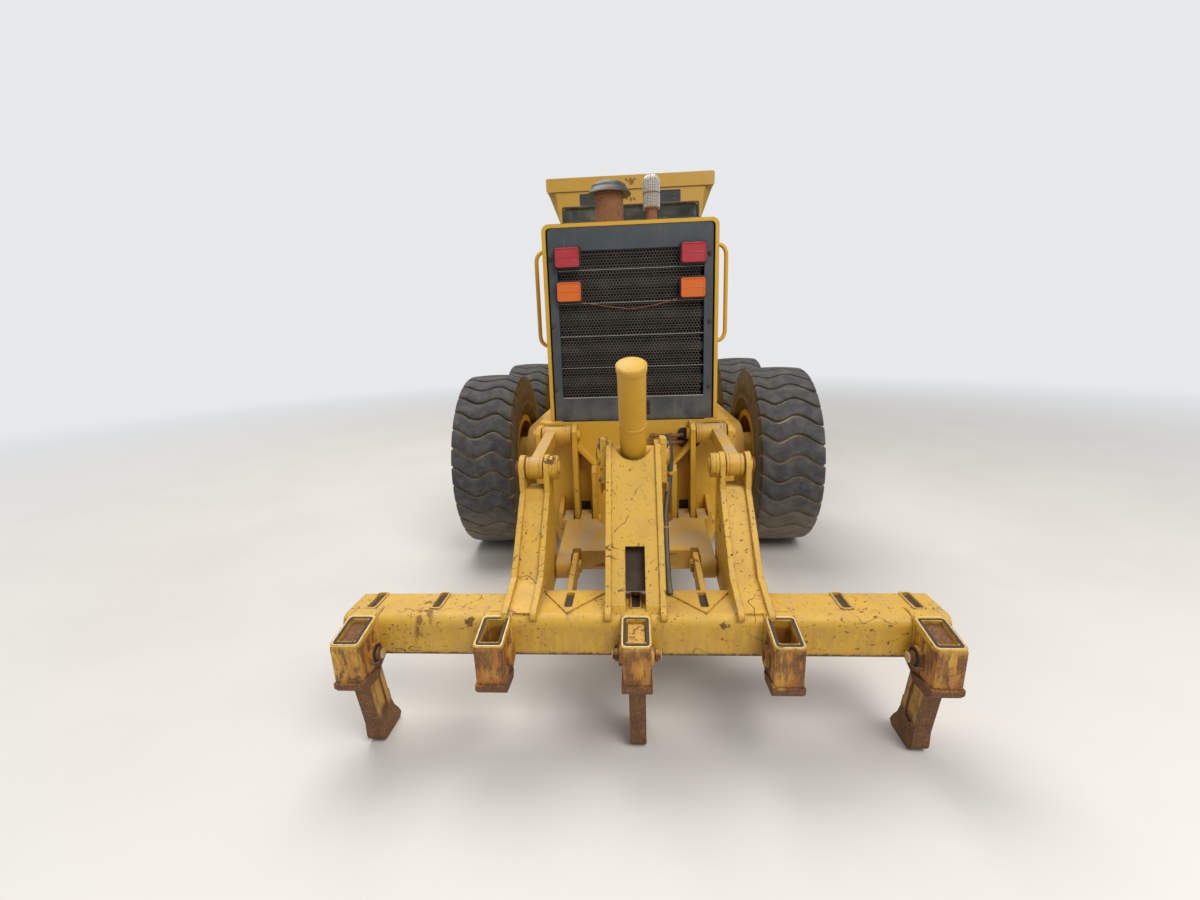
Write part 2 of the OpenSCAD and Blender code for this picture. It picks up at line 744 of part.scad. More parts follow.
// The upright channel: two cheeks with trunnion ears and a sunk back plate with a window
module upright() {
    cheek = 24;
    half = 118;
    ear = 28;
    sunk = 10;
    back = -beam_y - beam_back;
    front = -beam_y + beam_back;
    top_y = -trunnion_y - 62;
    top_z = trunnion_z + 50;
    both() {
        side_plate(half - cheek, half) {
            circle_at(back + 8, beam_top + 2, 20);
            polygon([[top_y, top_z], [-trunnion_y + 60, top_z], [-trunnion_y + 66, trunnion_z - 70],
                [front + 30, beam_top - 10], [front - 20, beam_top - 60], [back + 8, beam_top - 18],
                [back + 8, beam_top + 22], [back + 28, beam_top + 28]]);
        }
        side_plate(half - 1, half + ear) polygon([[-trunnion_y - 50, top_z + 22],
            [-trunnion_y + 46, top_z + 22], [-trunnion_y + 54, trunnion_z - 60],
            [-trunnion_y + 10, trunnion_z - 170], [-trunnion_y - 58, trunnion_z - 120]]);
        x_rod(-trunnion_y, trunnion_z, 52, half + ear - 1, half + ear + 12);
    }
    difference() {
        side_plate(-half + 1, half - 1) polygon([[top_y + sunk, top_z - 10], [top_y + sunk + 24, top_z - 10],
            [back + 62, beam_top - 20], [back + 20, beam_top - 20], [back + 28 + sunk, beam_top + 26]]);
        block([-39, back - 1, beam_top + 2], [39, -trunnion_y, window_z]);
    }
}

// Three shanks in the middle and outer pockets, each with a forward foot, sunk sides and a pin
module ripper_shanks() {
    half = shank_w / 2;
    sunk = 7;
    y = -beam_y - pocket_back;
    color(rust) from_axle() for (i = [-2, 0, 2]) {
        difference() {
            side_plate(i * pocket_step - half, i * pocket_step + half) {
                translate([y, pocket_z]) rotate(pocket_tilt) translate([-shank_half, -430])
                    square([2 * shank_half, 424]);
                circle_at(y + 82, 49, 45);
                polygon([[y + 37, 120], [y + 37, 49], [y + 82, 4], [y + 196, 4], [y + 212, 20], [y + 190, 58],
                    [y + 162, 94], [y + 144, 136], [y + 134, 190]]);
            }
            for (s = [-1, 1]) side_plate(i * pocket_step + s * half - sunk, i * pocket_step + s * half + sunk)
                translate([y, pocket_z]) rotate(pocket_tilt) capsule([0, -256], [0, -400], 26);
        }
        pocket_frame(i * pocket_step) {
            x_rod(0, shank_pin_z, shank_pin_r, -88, 88);
            for (s = [-80, 70]) x_rod(0, shank_pin_z, 23, s, s + 10);
        }
    }
}

// The lower link: a deep plate with curved edges and a sunk rear face, between four legs
module ripper_lower_link() {
    boss = 56;
    depth = 100;
    edge = 16;
    reach = 545;
    a = [-link_y, link_low_z];
    b = [-link_rear_y, arm_low_z];
    tilt = atan2(link_drop, link_len);
    color(yellow) from_axle() difference() {
        union() {
            // bosses: x from, x to, pin
            for (s = [-1, 1], e = [[237, 299, a], [339, 392, a], [302, 370, b]])
                x_rod(e[2][0], e[2][1], boss, min(s * e[0], s * e[1]), max(s * e[0], s * e[1]));
            translate([0, a[0], a[1]]) rotate([tilt, 0, 0]) difference() {
                translate([0, 0, -depth / 2]) linear_extrude(depth) difference() {
                    union() {
                        translate([-370, -link_len + 54]) square([740, link_len - 154]);
                        for (s = [-1, 1]) {
                            translate([s * 268 - 31, -110]) square([62, 110]);
                            translate([s * 365 - 27, -110]) square([54, 110]);
                            translate([s * 336 - 34, -link_len]) square([68, 110]);
                        }
                    }
                    circle_at(0, -10, 228, $fn = 96);
                    circle_at(0, -262, 112, $fn = 96);
                    translate([-228, -10]) square([456, 100]);
                    circle_at(0, -link_len - reach + 70, reach, $fn = 96);
                }
                translate([-290, 0, edge - depth / 2]) linear_extrude(depth - 2 * edge) intersection() {
                    translate([290, -link_len - reach + 70]) circle(r = reach + 22, $fn = 96);
                    translate([0, -link_len]) square([580, 200]);
                }
            }
        }
        x_rod(a[0], a[1], pin_r + fit, -500, 500);
        x_rod(b[0], b[1], pin_r + fit, -500, 500);
        for (s = [-1, 1]) {
            block([s * 319 - 20, -link_y - 62 - side_gap, 300], [s * 319 + 20, -link_y + 100, 800]);
            block([s * 282 - 19, -link_rear_y - 80, 300], [s * 282 + 19, -link_rear_y + 76, 800]);
        }
    }
}

// The two upper links, each a bar between two bosses
module ripper_upper_links() {
    a = [-link_y, link_up_z];
    b = [-link_rear_y, arm_up_z];
    color(yellow) from_axle() both() difference() {
        union() {
            x_rod(a[0], a[1], 52, 337, 494);
            x_rod(b[0], b[1], 50, arm_x - 38, arm_x + 38);
            side_plate(arm_x - 28, arm_x + 28) capsule(a, b, 34);
        }
        x_rod(a[0], a[1], pin_r + fit, 300, 540);
        x_rod(b[0], b[1], pin_r + fit, 300, 540);
    }
}

// The ripper cylinder's barrel, which swings on trunnions in the upright
module ripper_barrel() {
    up = 462;
    down = 150;
    color(yellow) from_axle() translate([0, -trunnion_y, trunnion_z]) {
        rotate([ram_tilt, 0, 0]) difference() {
            union() {
                translate([0, 0, -down]) cylinder(r = ram_r, h = up + down);
                translate([0, 0, -down]) cylinder(r = ram_r + 8, h = 40);
                translate([0, 0, up - 22]) cylinder(r = ram_r + 4, h = 22);
            }
            translate([0, 0, -down - 1]) cylinder(r = 31 + fit, h = up + down - 21);
        }
        difference() {
            x_rod(0, 0, trunnion_r, -134, 134);
            rotate([ram_tilt, 0, 0]) cylinder(r = ram_r - 4, h = 300, center = true);
        }
    }
}

// The ripper cylinder's rod with its eye
module ripper_rod() {
    len = norm([trunnion_y - ram_eye_y, trunnion_z - ram_eye_z]);
    color(steel) from_axle() {
        translate([0, -trunnion_y, trunnion_z]) rotate([ram_tilt, 0, 0])
            translate([0, 0, -len + 40]) cylinder(r = 31, h = len + 100);
        x_rod(-ram_eye_y, ram_eye_z, 52, -34, 34);
    }
}

// The arched front frame from the hitch to the nose plate
module front_frame() {
    w = goose_w / 2;
    y2 = hitch_y;
    nose = front_y + nose_reach;
    lug = 130;
    color(yellow) from_axle() difference() {
        union() {
            side_plate(-w, w) polygon([[y2 + 150, hitch_low + 20], [rise_y - 200, 760], [rise_y + 60, 1080],
                [rise_y + 200, 1440], [rise_y + 300, arch_low], [front_y - 1500, arch_low],
                [front_y - 850, 1330], [front_y - 550, 1130], [nose, 1090], [nose, 1330], [front_y, 1430],
                [front_y - 550, 1640], [front_y - 1350, arch_top], [rise_y + 650, arch_top],
                [rise_y + 220, 1800], [rise_y - 80, 1500], [rise_y - 400, 1420], [y2 + 150, 1250]]);
            // hitch box
            flat_plate(hitch_low + 10, 1290) polygon([[-280, y2 + 150], [280, y2 + 150], [280, y2 + 520],
                [w, rise_y - 470], [-w, rise_y - 470], [-280, y2 + 520]]);
            for (z = [hitch_low, hitch_low + 116, hitch_up, hitch_up + 116]) flat_plate(z, z + 54) {
                translate([0, y2]) circle(r = lug);
                translate([-lug, y2]) square([2 * lug, 160]);
            }
            // push plate at the nose
            block([-nose_x, nose - 1, 700], [nose_x, nose + nose_t, 1260]);
            side_plate(-w, w) polygon([[nose - 260, 1091], [nose, 760], [nose, 1091]]);
            // bracket and ball for the drawbar
            side_plate(-tongue, tongue) {
                circle_at(ball_y, ball_z, 60);
                polygon([[ball_y - 60, ball_z], [ball_y - 40, 1140], [ball_y + 220, 1140],
                    [ball_y + 60, ball_z]]);
            }
            // cheeks that carry the axle pin
            for (y = [front_y - cheek_in - 80, front_y + cheek_in]) block([-w, y, 780], [w, y + 80, 1300]);
            lift_saddle();
            // cab brackets
            both() for (y = cab_mounts) {
                block([w - 1, y, floor_z - 120], [520, y + 70, floor_z - 60]);
                block([w - 1, y, floor_z - 320], [w + 30, y + 70, floor_z - 110]);
            }
        }
        x_rod(ball_y, ball_z, ball_pin_r + fit, -tongue - 1, tongue + 1);
        both() for (z = [800, 1160]) y_rod(nose_x - 70, z, 17, nose - 10, nose + nose_t + 10);
    }
    color(steel) from_axle() {
        for (z = [hitch_low, hitch_up]) z_rod(0, y2, hitch_pin_r, z, z + 170);
        y_rod(0, axle_pin_z, axle_pin_r, front_y - cheek_in - 90, front_y + cheek_in + 90);
    }
}

// The cross saddle on the arch that holds the lift cylinders
module lift_saddle() {
    y = lift_top_y;
    w = goose_w / 2;
    out = lift_x - 94;
    difference() {
        block([-w - 44, y - 110, arch_low - 60], [w + 44, y + 110, arch_top + 44]);
        block([-w + 1, y - 111, arch_low - 61], [w - 1, y + 111, arch_low + 10]);
    }
    both() difference() {
        union() {
            block([w + 40, y - 70, lift_z - 55], [out + 4, y + 70, lift_z + 55]);
            block([out, y - 136, lift_z - 60], [lift_x + 94, y + 136, lift_z + 60]);
        }
        block([lift_x - 68, y - 110, lift_z - 61], [lift_x + 68, y + 110, lift_z + 61]);
        x_rod(y, lift_z, 30 + fit, out - 1, lift_x + 95);
    }
}

// A lift cylinder's barrel on the right, on trunnions in the saddle's ring
module lift_barrel() {
    color(yellow) from_axle() translate([lift_x, lift_top_y, lift_z]) {
        rotate([-lift_lean, 0, 0]) difference() {
            union() {
                translate([0, 0, -280]) cylinder(r = 60, h = 1110);
                translate([0, 0, -280]) cylinder(r = 67, h = 50);
            }
            translate([0, 0, -281]) cylinder(r = 30 + fit, h = 1096);
        }
        for (x = [-90, 40]) x_rod(0, 0, 30, x, x + 50);
    }
}

// A lift cylinder's rod on the right, with its eye over the drawbar
module lift_rod() {
    color(steel) from_axle() {
        translate([lift_x, lift_y, lift_eye_z]) rotate([-lift_lean, 0, 0]) translate([0, 0, 30])
            cylinder(r = 30, h = 1155);
        x_rod(lift_y, lift_eye_z, 48, lift_x - 34, lift_x + 34);
    }
}

// The drawbar: two beams from the ball to a yoke plate over the circle
module drawbar() {
    top = bar_z + bar_h;
    rear = circle_y - 420;
    color(yellow) from_axle() difference() {
        union() {
            flat_plate(bar_z, top) polygon([[-60, ball_y], [60, ball_y], [430, circle_y + 620],
                [430, circle_y + 420], [300, circle_y + 420], [40, ball_y - 260],
                [-40, ball_y - 260], [-300, circle_y + 420], [-430, circle_y + 420],
                [-430, circle_y + 620]]);
            both() block([300, rear, bar_z], [430, circle_y + 440, top]);
            block([-640, rear, bar_z], [640, rear + 130, top]);
            block([-430, circle_y + 400, bar_z], [430, circle_y + 520, top]);
            translate([0, ball_y, ball_z]) sphere(r = 92);
            // lugs of the lift cylinders
            both() for (x = [lift_x - 64, lift_x + 40]) side_plate(x, x + 24) polygon([
                [lift_y - 60, top - 1], [lift_y + 60, top - 1], [lift_y + 44, lift_eye_z + 30],
                [lift_y - 44, lift_eye_z + 30]]);
            both() block([400, lift_y - 70, bar_z], [lift_x + 64, lift_y + 70, top]);
            // gear box that turns the circle
            z_rod(0, circle_y + 455, 110, top - 1, top + 190);
            block([-150, circle_y + 360, top - 1], [150, circle_y + 540, top + 60]);
            z_rod(0, circle_y + circle_r - ring_w - 94, 58, ring_z + 4, bar_z + 1);
            block([-80, circle_y + 380, bar_z], [80, circle_y + 620, top]);
            // clips that hold the ring from below
            for (a = [55, 125, 212, 328]) translate([0, circle_y, 0]) rotate(a) {
                block([circle_r + side_gap, -50, ring_z - 24], [circle_r + 30, 50, bar_z + 20]);
                block([circle_r - 30, -50, ring_z - 24], [circle_r + 30, 50, ring_z - seat_gap]);
                block([circle_r - 160, -50, ring_z + ring_h + seat_gap], [circle_r + 30, 50, bar_z + 20]);
            }
        }
        block([-tongue - side_gap, ball_y - 110, ball_z - 120],
            [tongue + side_gap, ball_y + 120, ball_z + 120]);
    }
    color(steel) from_axle() x_rod(ball_y, ball_z, ball_pin_r, -80, 80);
}

// The circle: a toothed ring with two arms that hold the blade
module circle_ring() {
    inner = circle_r - ring_w;
    tooth = 26;
    color(yellow) from_axle() {
        translate([0, circle_y, ring_z]) linear_extrude(ring_h) difference() {
            circle(r = circle_r);
            polygon([for (i = [0:circle_teeth - 1], e = [[0.0, 0], [0.45, 0], [0.55, tooth], [0.9, tooth]])
                let (a = (i + e[0]) * 360 / circle_teeth, r = inner - e[1]) [r * cos(a), r * sin(a)]]);
        }
        both() difference() {
            union() {
                side_plate(arm_out - 60, arm_out) polygon([[chord_y - 355, ring_z + 1],
                    [chord_y - 262, ring_z + 1], [chord_y - 262, 340], [tip_y + 50, tip_z + 40],
                    [tip_y, tip_z - 40], [tip_y - 60, tip_z], [chord_y - 400, 520]]);
                x_rod(tip_y, tip_z, 62, arm_out - 60, arm_out);
            }
            x_rod(tip_y, tip_z, 32 + fit, arm_out - 70, arm_out + 10);
        }
        // ears of the tip cylinder
        both() side_plate(36 + side_gap, 66) polygon([[tip_pin_y - 46, tip_pin_z - 20],
            [tip_pin_y - 30, tip_pin_z - 46], [tip_pin_y + 30, tip_pin_z - 46],
            [tip_pin_y + 52, tip_pin_z - 20], [tip_pin_y + 52, ring_z + 1],
            [tip_pin_y - 20, ring_z + 1], [tip_pin_y - 20, ring_z - 33], [tip_pin_y - 46, tip_pin_z + 24]]);
        x_rod(tip_pin_y, tip_pin_z, 24, -80, 80);
    }
}

// The tip cylinder's barrel, pinned under the circle
module tip_barrel() {
    color(yellow) from_axle() difference() {
        union() {
            translate([0, tip_pin_y, tip_pin_z]) rotate([180 + tip_ram_tilt, 0, 0]) {
                translate([0, 0, 30]) cylinder(r = 42, h = 220);
            }
            x_rod(tip_pin_y, tip_pin_z, 44, -36, 36);
        }
        x_rod(tip_pin_y, tip_pin_z, 24 + fit, -40, 40);
        translate([0, tip_pin_y, tip_pin_z]) rotate([180 + tip_ram_tilt, 0, 0])
            translate([0, 0, 40]) cylinder(r = 22 + fit, h = 220);
    }
}

// The tip cylinder's rod, with its eye at the bracket
module tip_rod() {
    len = norm([tip_eye_y - tip_pin_y, tip_pin_z - tip_eye_z]);
    color(steel) from_axle() {
        translate([0, tip_pin_y, tip_pin_z]) rotate([180 + tip_ram_tilt, 0, 0])
            translate([0, 0, 64]) cylinder(r = 22, h = len - 84);
        x_rod(tip_eye_y, tip_eye_z, 34, -30, 30);
    }
}

// The bracket that tips: two ears on the arms' pins, with the shoes the blade slides in
module tip_bracket() {
    back = rail_y - 40;
    color(yellow) from_axle() difference() {
        union() {
            both() {
                side_plate(arm_out + side_gap, arm_out + 66) polygon([[tip_y - 58, tip_z - 10],
                    [tip_y - 20, tip_z - 60], [back + 20, rail_low_z - 50], [rail_y + 36, rail_low_z - 50],
                    [rail_y + 36, rail_low_z + 40], [rail_y + 2, rail_low_z + 40],
                    [rail_y + 2, rail_up_z - 40], [rail_y + 32, rail_up_z - 40],
                    [rail_y + 32, rail_up_z + 40], [back - 30, rail_up_z + 60], [tip_y - 58, tip_z + 60]]);
                x_rod(shift_y, shift_z, 62, arm_out + side_gap, arm_out + 66);
                block([arm_out + side_gap, shift_y - 50, rail_up_z], [arm_out + 66, shift_y - 2, shift_z]);
                x_rod(tip_y, tip_z, 32, arm_out - 80, arm_out + 20);
            }
            // cross plate between the ears, and the horn of the tip cylinder
            block([-arm_out - 40, back, chord_z + 262], [arm_out + 40, rail_y + 2, chord_z + 380]);
            both() side_plate(30 + side_gap, 60) polygon([[back + 2, chord_z + 270],
                [back + 2, tip_eye_z + 38], [tip_eye_y - 20, tip_eye_z + 38],
                [tip_eye_y - 38, tip_eye_z], [tip_eye_y - 20, tip_eye_z - 38], [back - 10, chord_z + 270]]);
        }
        for (z = [rail_up_z, rail_low_z]) block([-600, rail_y - seat_gap, z - 20 - seat_gap],
            [600, rail_y + 60, z + 20 + seat_gap]);
        x_rod(tip_eye_y, tip_eye_z, 60, -36, 36);
        x_rod(shift_y, shift_z, 45, -700, 700);
    }
    color(yellow) from_axle() difference() {
        x_rod(shift_y, shift_z, 45, -1060, 470);
        x_rod(shift_y, shift_z, 24 + fit, -1040, 480);
    }
}

// The moldboard: an arc with two slide rails on its back and the shift cylinder's rod
module moldboard() {
    half = blade_len / 2;
    color(yellow) from_axle() {
        side_plate(-half, half) blade_section();
        for (z = [rail_up_z, rail_low_z]) difference() {
            block([-1250, rail_y, z - 20], [1250, chord_y - 60, z + 20]);
            x_rod(bow_y, bow_z, blade_r - 8, -1260, 1260);
        }
        difference() {
            block([1100, shift_y - 40, shift_z - 30], [1130, chord_y - 10, shift_z + 30]);
            x_rod(bow_y, bow_z, blade_r - 8, 1090, 1140);
        }
    }
    color(steel) from_axle() x_rod(shift_y, shift_z, 24, -400, 1101);
}

// The curved section of the moldboard, in y and z
module blade_section() {
    intersection() {
        translate([bow_y, bow_z]) difference() {
            circle(r = blade_r, $fn = 96);
            circle(r = blade_r - blade_t, $fn = 96);
        }
        translate([chord_y - 300, chord_z]) square([300, blade_h]);
    }
}

// The bolted cutting edge at the foot of the moldboard
module cutting_edge() {
    half = blade_len / 2;
    lean = asin(blade_h / 2 / blade_r);
    face = blade_r - blade_t - 2.6;
    color(steel) from_axle() translate([0, bow_y, bow_z]) rotate([lean - 90, 0, 0])
        block([-half, -42, -face], [half, 110, 16 - face]);
}

// The cab's side outline in y and z
module cab_outline(inset = 0) {
    y = cab_y + inset;
    polygon([[y, floor_z + inset], [cab_y + 860, floor_z + inset],
        [cab_y + 1200 - inset, floor_z + 300], [cab_y + 1390 - inset, eaves_z], [y, eaves_z]]);
}

// The cab's body: floor, posts and sills, open at its doors and windows
module cab() {
    t = cab_t;
    color(yellow) from_axle() {
        difference() {
            side_plate(-cab_x, cab_x) cab_outline();
            side_plate(-cab_x + t, cab_x - t) difference() {
                cab_outline(t);
                translate([cab_y, floor_z - 10]) square([1400, t + 10]);
            }
            // tops open under the roof
            block([-cab_x + t, cab_y + t, eaves_z - 20], [cab_x - t, cab_y + 1330, eaves_z + 1]);
            // doors
            block([-cab_x - 1, cab_door_y - 5, door_low - 5],
                [cab_x + 1, cab_door_y + cab_door_len + 5, door_top + 5]);
            // rear window, quarter windows and windshield
            cross_plate(cab_y - 1, cab_y + t + 1) round_rect([-700, 2080], [700, eaves_z - 40], 60);
            side_plate(-cab_x - 1, cab_x + 1) polygon([[cab_door_y + cab_door_len + 70, 2020],
                [cab_y + 1195, 2020], [cab_y + 1310, eaves_z - 50],
                [cab_door_y + cab_door_len + 70, eaves_z - 50]]);
            cross_plate(cab_y + 1000, cab_y + 1500) round_rect([-700, 1990], [700, eaves_z - 50], 60);
        }
        both() for (z = cab_hinges) hinge_lugs(cab_x, cab_door_y, z, -1);
        // mounts on the front frame's brackets
        both() for (y = cab_mounts) block([420, y + 5, floor_z - 60], [510, y + 65, floor_z + 1]);
    }
}

// The flared roof over the eaves, with cut rear corners, a high rear window and two vents beside it
module cab_roof() {
    y0 = cab_y - 60;
    y1 = cab_y + 1500;
    color(yellow) from_axle() difference() {
        union() {
            difference() {
                cross_plate(y0, y1) polygon([[-cab_x - 2, eaves_z + seat_gap], [cab_x + 2, eaves_z + seat_gap],
                    [roof_x - 8, fascia_z], [-roof_x + 8, fascia_z]]);
                both() translate([roof_x - 108, y0 - 1, fascia_z]) rotate([0, 6, 0]) translate([0, 0, -400])
                    linear_extrude(440) polygon([[0, 0], [200, 0], [200, 330]]);
            }
            cross_plate(y0 - 4, y1) round_rect([-roof_x, fascia_z - 1], [roof_x, roof_z], 20);
        }
        cross_plate(y0 + 60, y1 - 60) polygon([[-cab_x + cab_t, eaves_z - 1], [cab_x - cab_t, eaves_z - 1],
            [roof_x - 90, fascia_z - 30], [-roof_x + 90, fascia_z - 30]]);
        cross_plate(y0 - 1, y0 + 61) {
            round_rect([-770, eaves_z + 6], [770, high_window_z], 50);
            translate([-770, eaves_z - 1]) square([1540, 80]);
        }
        both() block([337, y0 - 5, fascia_z - 154], [570, y0 + 8, fascia_z - 38]);
    }
}

// The fixed panes of the cab
module cab_glass() {
    g = seat_gap;
    color([0.35, 0.45, 0.40, 0.6]) from_axle() {
        cross_plate(cab_y + 26, cab_y + 34) round_rect([-700 + g, 2080 + g], [700 - g, eaves_z - 40 - g], 60);
        cross_plate(cab_y - 34, cab_y - 26) {
            round_rect([-770 + g, eaves_z + 6], [770 - g, high_window_z - g], 50);
            translate([-770 + g, eaves_z + g]) square([1540 - 2 * g, 80]);
        }
        for (x = [-cab_x + 26, cab_x - 34]) side_plate(x, x + 8) polygon([
            [cab_door_y + cab_door_len + 70 + g, 2020 + g], [cab_y + 1195 - g, 2020 + g],
            [cab_y + 1310 - 2 * g, eaves_z - 50 - g],
            [cab_door_y + cab_door_len + 70 + g, eaves_z - 50 - g]]);
        intersection() {
            cross_plate(cab_y + 1000, cab_y + 1500)
                round_rect([-700 + g, 1990 + g], [700 - g, eaves_z - 50 - g], 60);
            side_plate(-701, 701) difference() {
                cab_outline(26);
                cab_outline(34);
            }
        }
    }
}

// A cab door on the right: a frame round its window, hinged at its rear edge
module cab_door() {
    y1 = cab_door_y + cab_door_len;
    color(yellow) from_axle() {
        difference() {
            block([cab_x - 50, cab_door_y, door_low], [cab_x, y1, door_top]);
            side_plate(cab_x - 51, cab_x + 1) {
                round_rect([cab_door_y + 60, door_low + 420], [y1 - 60, door_top - 60], 40);
                round_rect([cab_door_y + 60, door_low + 70], [y1 - 60, door_low + 350], 40);
            }
        }
        for (z = cab_hinges) hinge_leaf(cab_x, cab_door_y, z, 1);
    }
}

// The operator's seat on its pedestal
module seat() {
    y = cab_y + 330;
    z = floor_z + cab_t;
    color(dark) from_axle() {
        block([-110, y - 110, z], [110, y + 130, z + 250]);
        translate([0, 0, z + 249]) linear_extrude(110) round_rect([-240, y - 230], [240, y + 260], 50);
        translate([0, y - 230, z + 330]) rotate([-12, 0, 0]) translate([0, 0, 0]) cross_plate(0, 100)
            round_rect([-220, 0], [220, 620], 60);
        both() block([235, y - 150, z + 355], [290, y + 180, z + 470]);
    }
}

// The control console with its wheel
module console() {
    y = cab_y + 680;
    z = floor_z + cab_t;
    color(dark) from_axle() {
        side_plate(-90, 90)
            polygon([[y, z], [y + 150, z], [y + 90, z + 640], [y - 20, z + 700], [y - 60, z + 640]]);
        translate([0, y - 40, z + 690]) rotate([35, 0, 0]) {
            translate([0, 0, -60]) cylinder(r = 20, h = 180);
            translate([0, 0, 100]) difference() {
                cylinder(r = 200, h = 24);
                translate([0, 0, -1]) cylinder(r = 172, h = 26);
            }
            translate([0, 0, 100]) block([-180, -14, 4], [180, 14, 20]);
        }
        both() block([130, y - 80, z + 420], [250, y + 60, z + 700]);
        block([-255, y - 30, z + 500], [255, y + 40, z + 560]);
    }
}

// The arched front axle on its fore-and-aft pin, with a fork at each end
module front_axle() {
    k = kingpin_span / 2;
    z = tyre_r;
    top = front_clear + 290;
    color(yellow) from_axle() difference() {
        union() {
            cross_plate(front_y - fork_r, front_y + fork_r) polygon([[-k, z - fork_h], [-k + 90, z - fork_h],
                [-420, front_clear + 60], [420, front_clear + 60], [k - 90, z - fork_h], [k, z - fork_h],
                [k, z + fork_h], [k - 70, z + fork_h], [360, top], [-360, top],
                [-k + 70, z + fork_h], [-k, z + fork_h]]);
            both() z_rod(k, front_y, fork_r, z - fork_h, z + fork_h);
            y_rod(0, axle_pin_z, 110, front_y - cheek_in + side_gap, front_y + cheek_in - side_gap);
        }
        both() block([k - 74, front_y - 120, z - fork_gap], [k + 120, front_y + 120, z + fork_gap]);
        both() z_rod(k, front_y, kingpin_r + fit, z - 120, z + 120);
        y_rod(0, axle_pin_z, axle_pin_r + fit, front_y - 140, front_y + 140);
    }
}

// A steering knuckle on the right: a block on the kingpin, the spindle and the tie rod's arm
module knuckle() {
    k = kingpin_span / 2;
    z = tyre_r;
    low = z - fork_h - side_gap;
    hub = wheel_x + front_hub - seat_gap;
    color(yellow) from_axle() difference() {
        union() {
            z_rod(k, front_y, 66, z - fork_gap + side_gap, z + fork_gap - side_gap);
            z_rod(k, front_y, kingpin_r, low - arm_t, z + fork_h + 15);
            block([k, front_y - 50, z - 50], [k + 110, front_y + 50, z + 50]);
            x_rod(front_y, z, spindle_r, k + fork_r + 10, wheel_x + 55);
            x_rod(front_y, z, 130, hub - 30, hub);
            flat_plate(low - arm_t, low) {
                circle_at(k, front_y, 62);
                capsule([k, front_y], [k, front_y - arm_len], 38);
            }
        }
        z_rod(k, front_y - arm_len, 20 + fit, low - arm_t - 1, low + 1);
    }
}

// The tie rod between the two arms, with a pin down through each
module tie_rod() {
    k = kingpin_span / 2;
    low = tyre_r - fork_h - side_gap;
    y = front_y - arm_len;
    color(yellow) from_axle() {
        x_rod(y, low + 34, 28, -k, k);
        both() z_rod(k, y, 38, low + seat_gap, low + 66);
        both() z_rod(k, y, 20, low - arm_t - 12, low + 10);
    }
}

rear_frame();
hood();
mirror([1, 0, 0]) hood_door();  // hood_door_left
hood_door();  // hood_door_right
grille();
tail_lamps();
radiator();
engine();
exhaust();
air_intake();
rear_axle();
mirror([1, 0, 0]) tandem();  // tandem_left
tandem();  // tandem_right
handrails();
ripper_frame();
ripper_shanks();
ripper_lower_link();
ripper_upper_links();
ripper_barrel();
ripper_rod();
wheel_place(-wheel_x, 0) tyre();  // tyre_rear_left
wheel_place(wheel_x, 0) tyre();  // tyre_rear_right
wheel_place(-wheel_x, mid_y) tyre();  // tyre_mid_left
wheel_place(wheel_x, mid_y) tyre();  // tyre_mid_right
wheel_place(-wheel_x, front_y) tyre();  // tyre_front_left
wheel_place(wheel_x, front_y) tyre();  // tyre_front_right
wheel_place(-wheel_x, 0) rim(rear_hub);  // rim_rear_left
wheel_place(wheel_x, 0) rim(rear_hub);  // rim_rear_right
wheel_place(-wheel_x, mid_y) rim(rear_hub);  // rim_mid_left
wheel_place(wheel_x, mid_y) rim(rear_hub);  // rim_mid_right
wheel_place(-wheel_x, front_y) rim(front_hub);  // rim_front_left
wheel_place(wheel_x, front_y) rim(front_hub);  // rim_front_right
front_frame();
cab();
cab_roof();
cab_glass();
mirror([1, 0, 0]) cab_door();  // cab_door_left
cab_door();  // cab_door_right
seat();
console();
front_axle();
mirror([1, 0, 0]) knuckle();  // knuckle_left
knuckle();  // knuckle_right
tie_rod();
drawbar();
circle_ring();  // circle
tip_bracket();
tip_barrel();
tip_rod();
moldboard();
cutting_edge();
mirror([1, 0, 0]) lift_barrel();  // lift_barrel_left
lift_barrel();  // lift_barrel_right
mirror([1, 0, 0]) lift_rod();  // lift_rod_left
lift_rod();  // lift_rod_right
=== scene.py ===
"""The looks of a motor grader with a rear ripper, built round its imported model."""

import json
import logging
import math
from dataclasses import dataclass
from enum import Enum

import bmesh
import bpy
from mathutils import Matrix, Vector

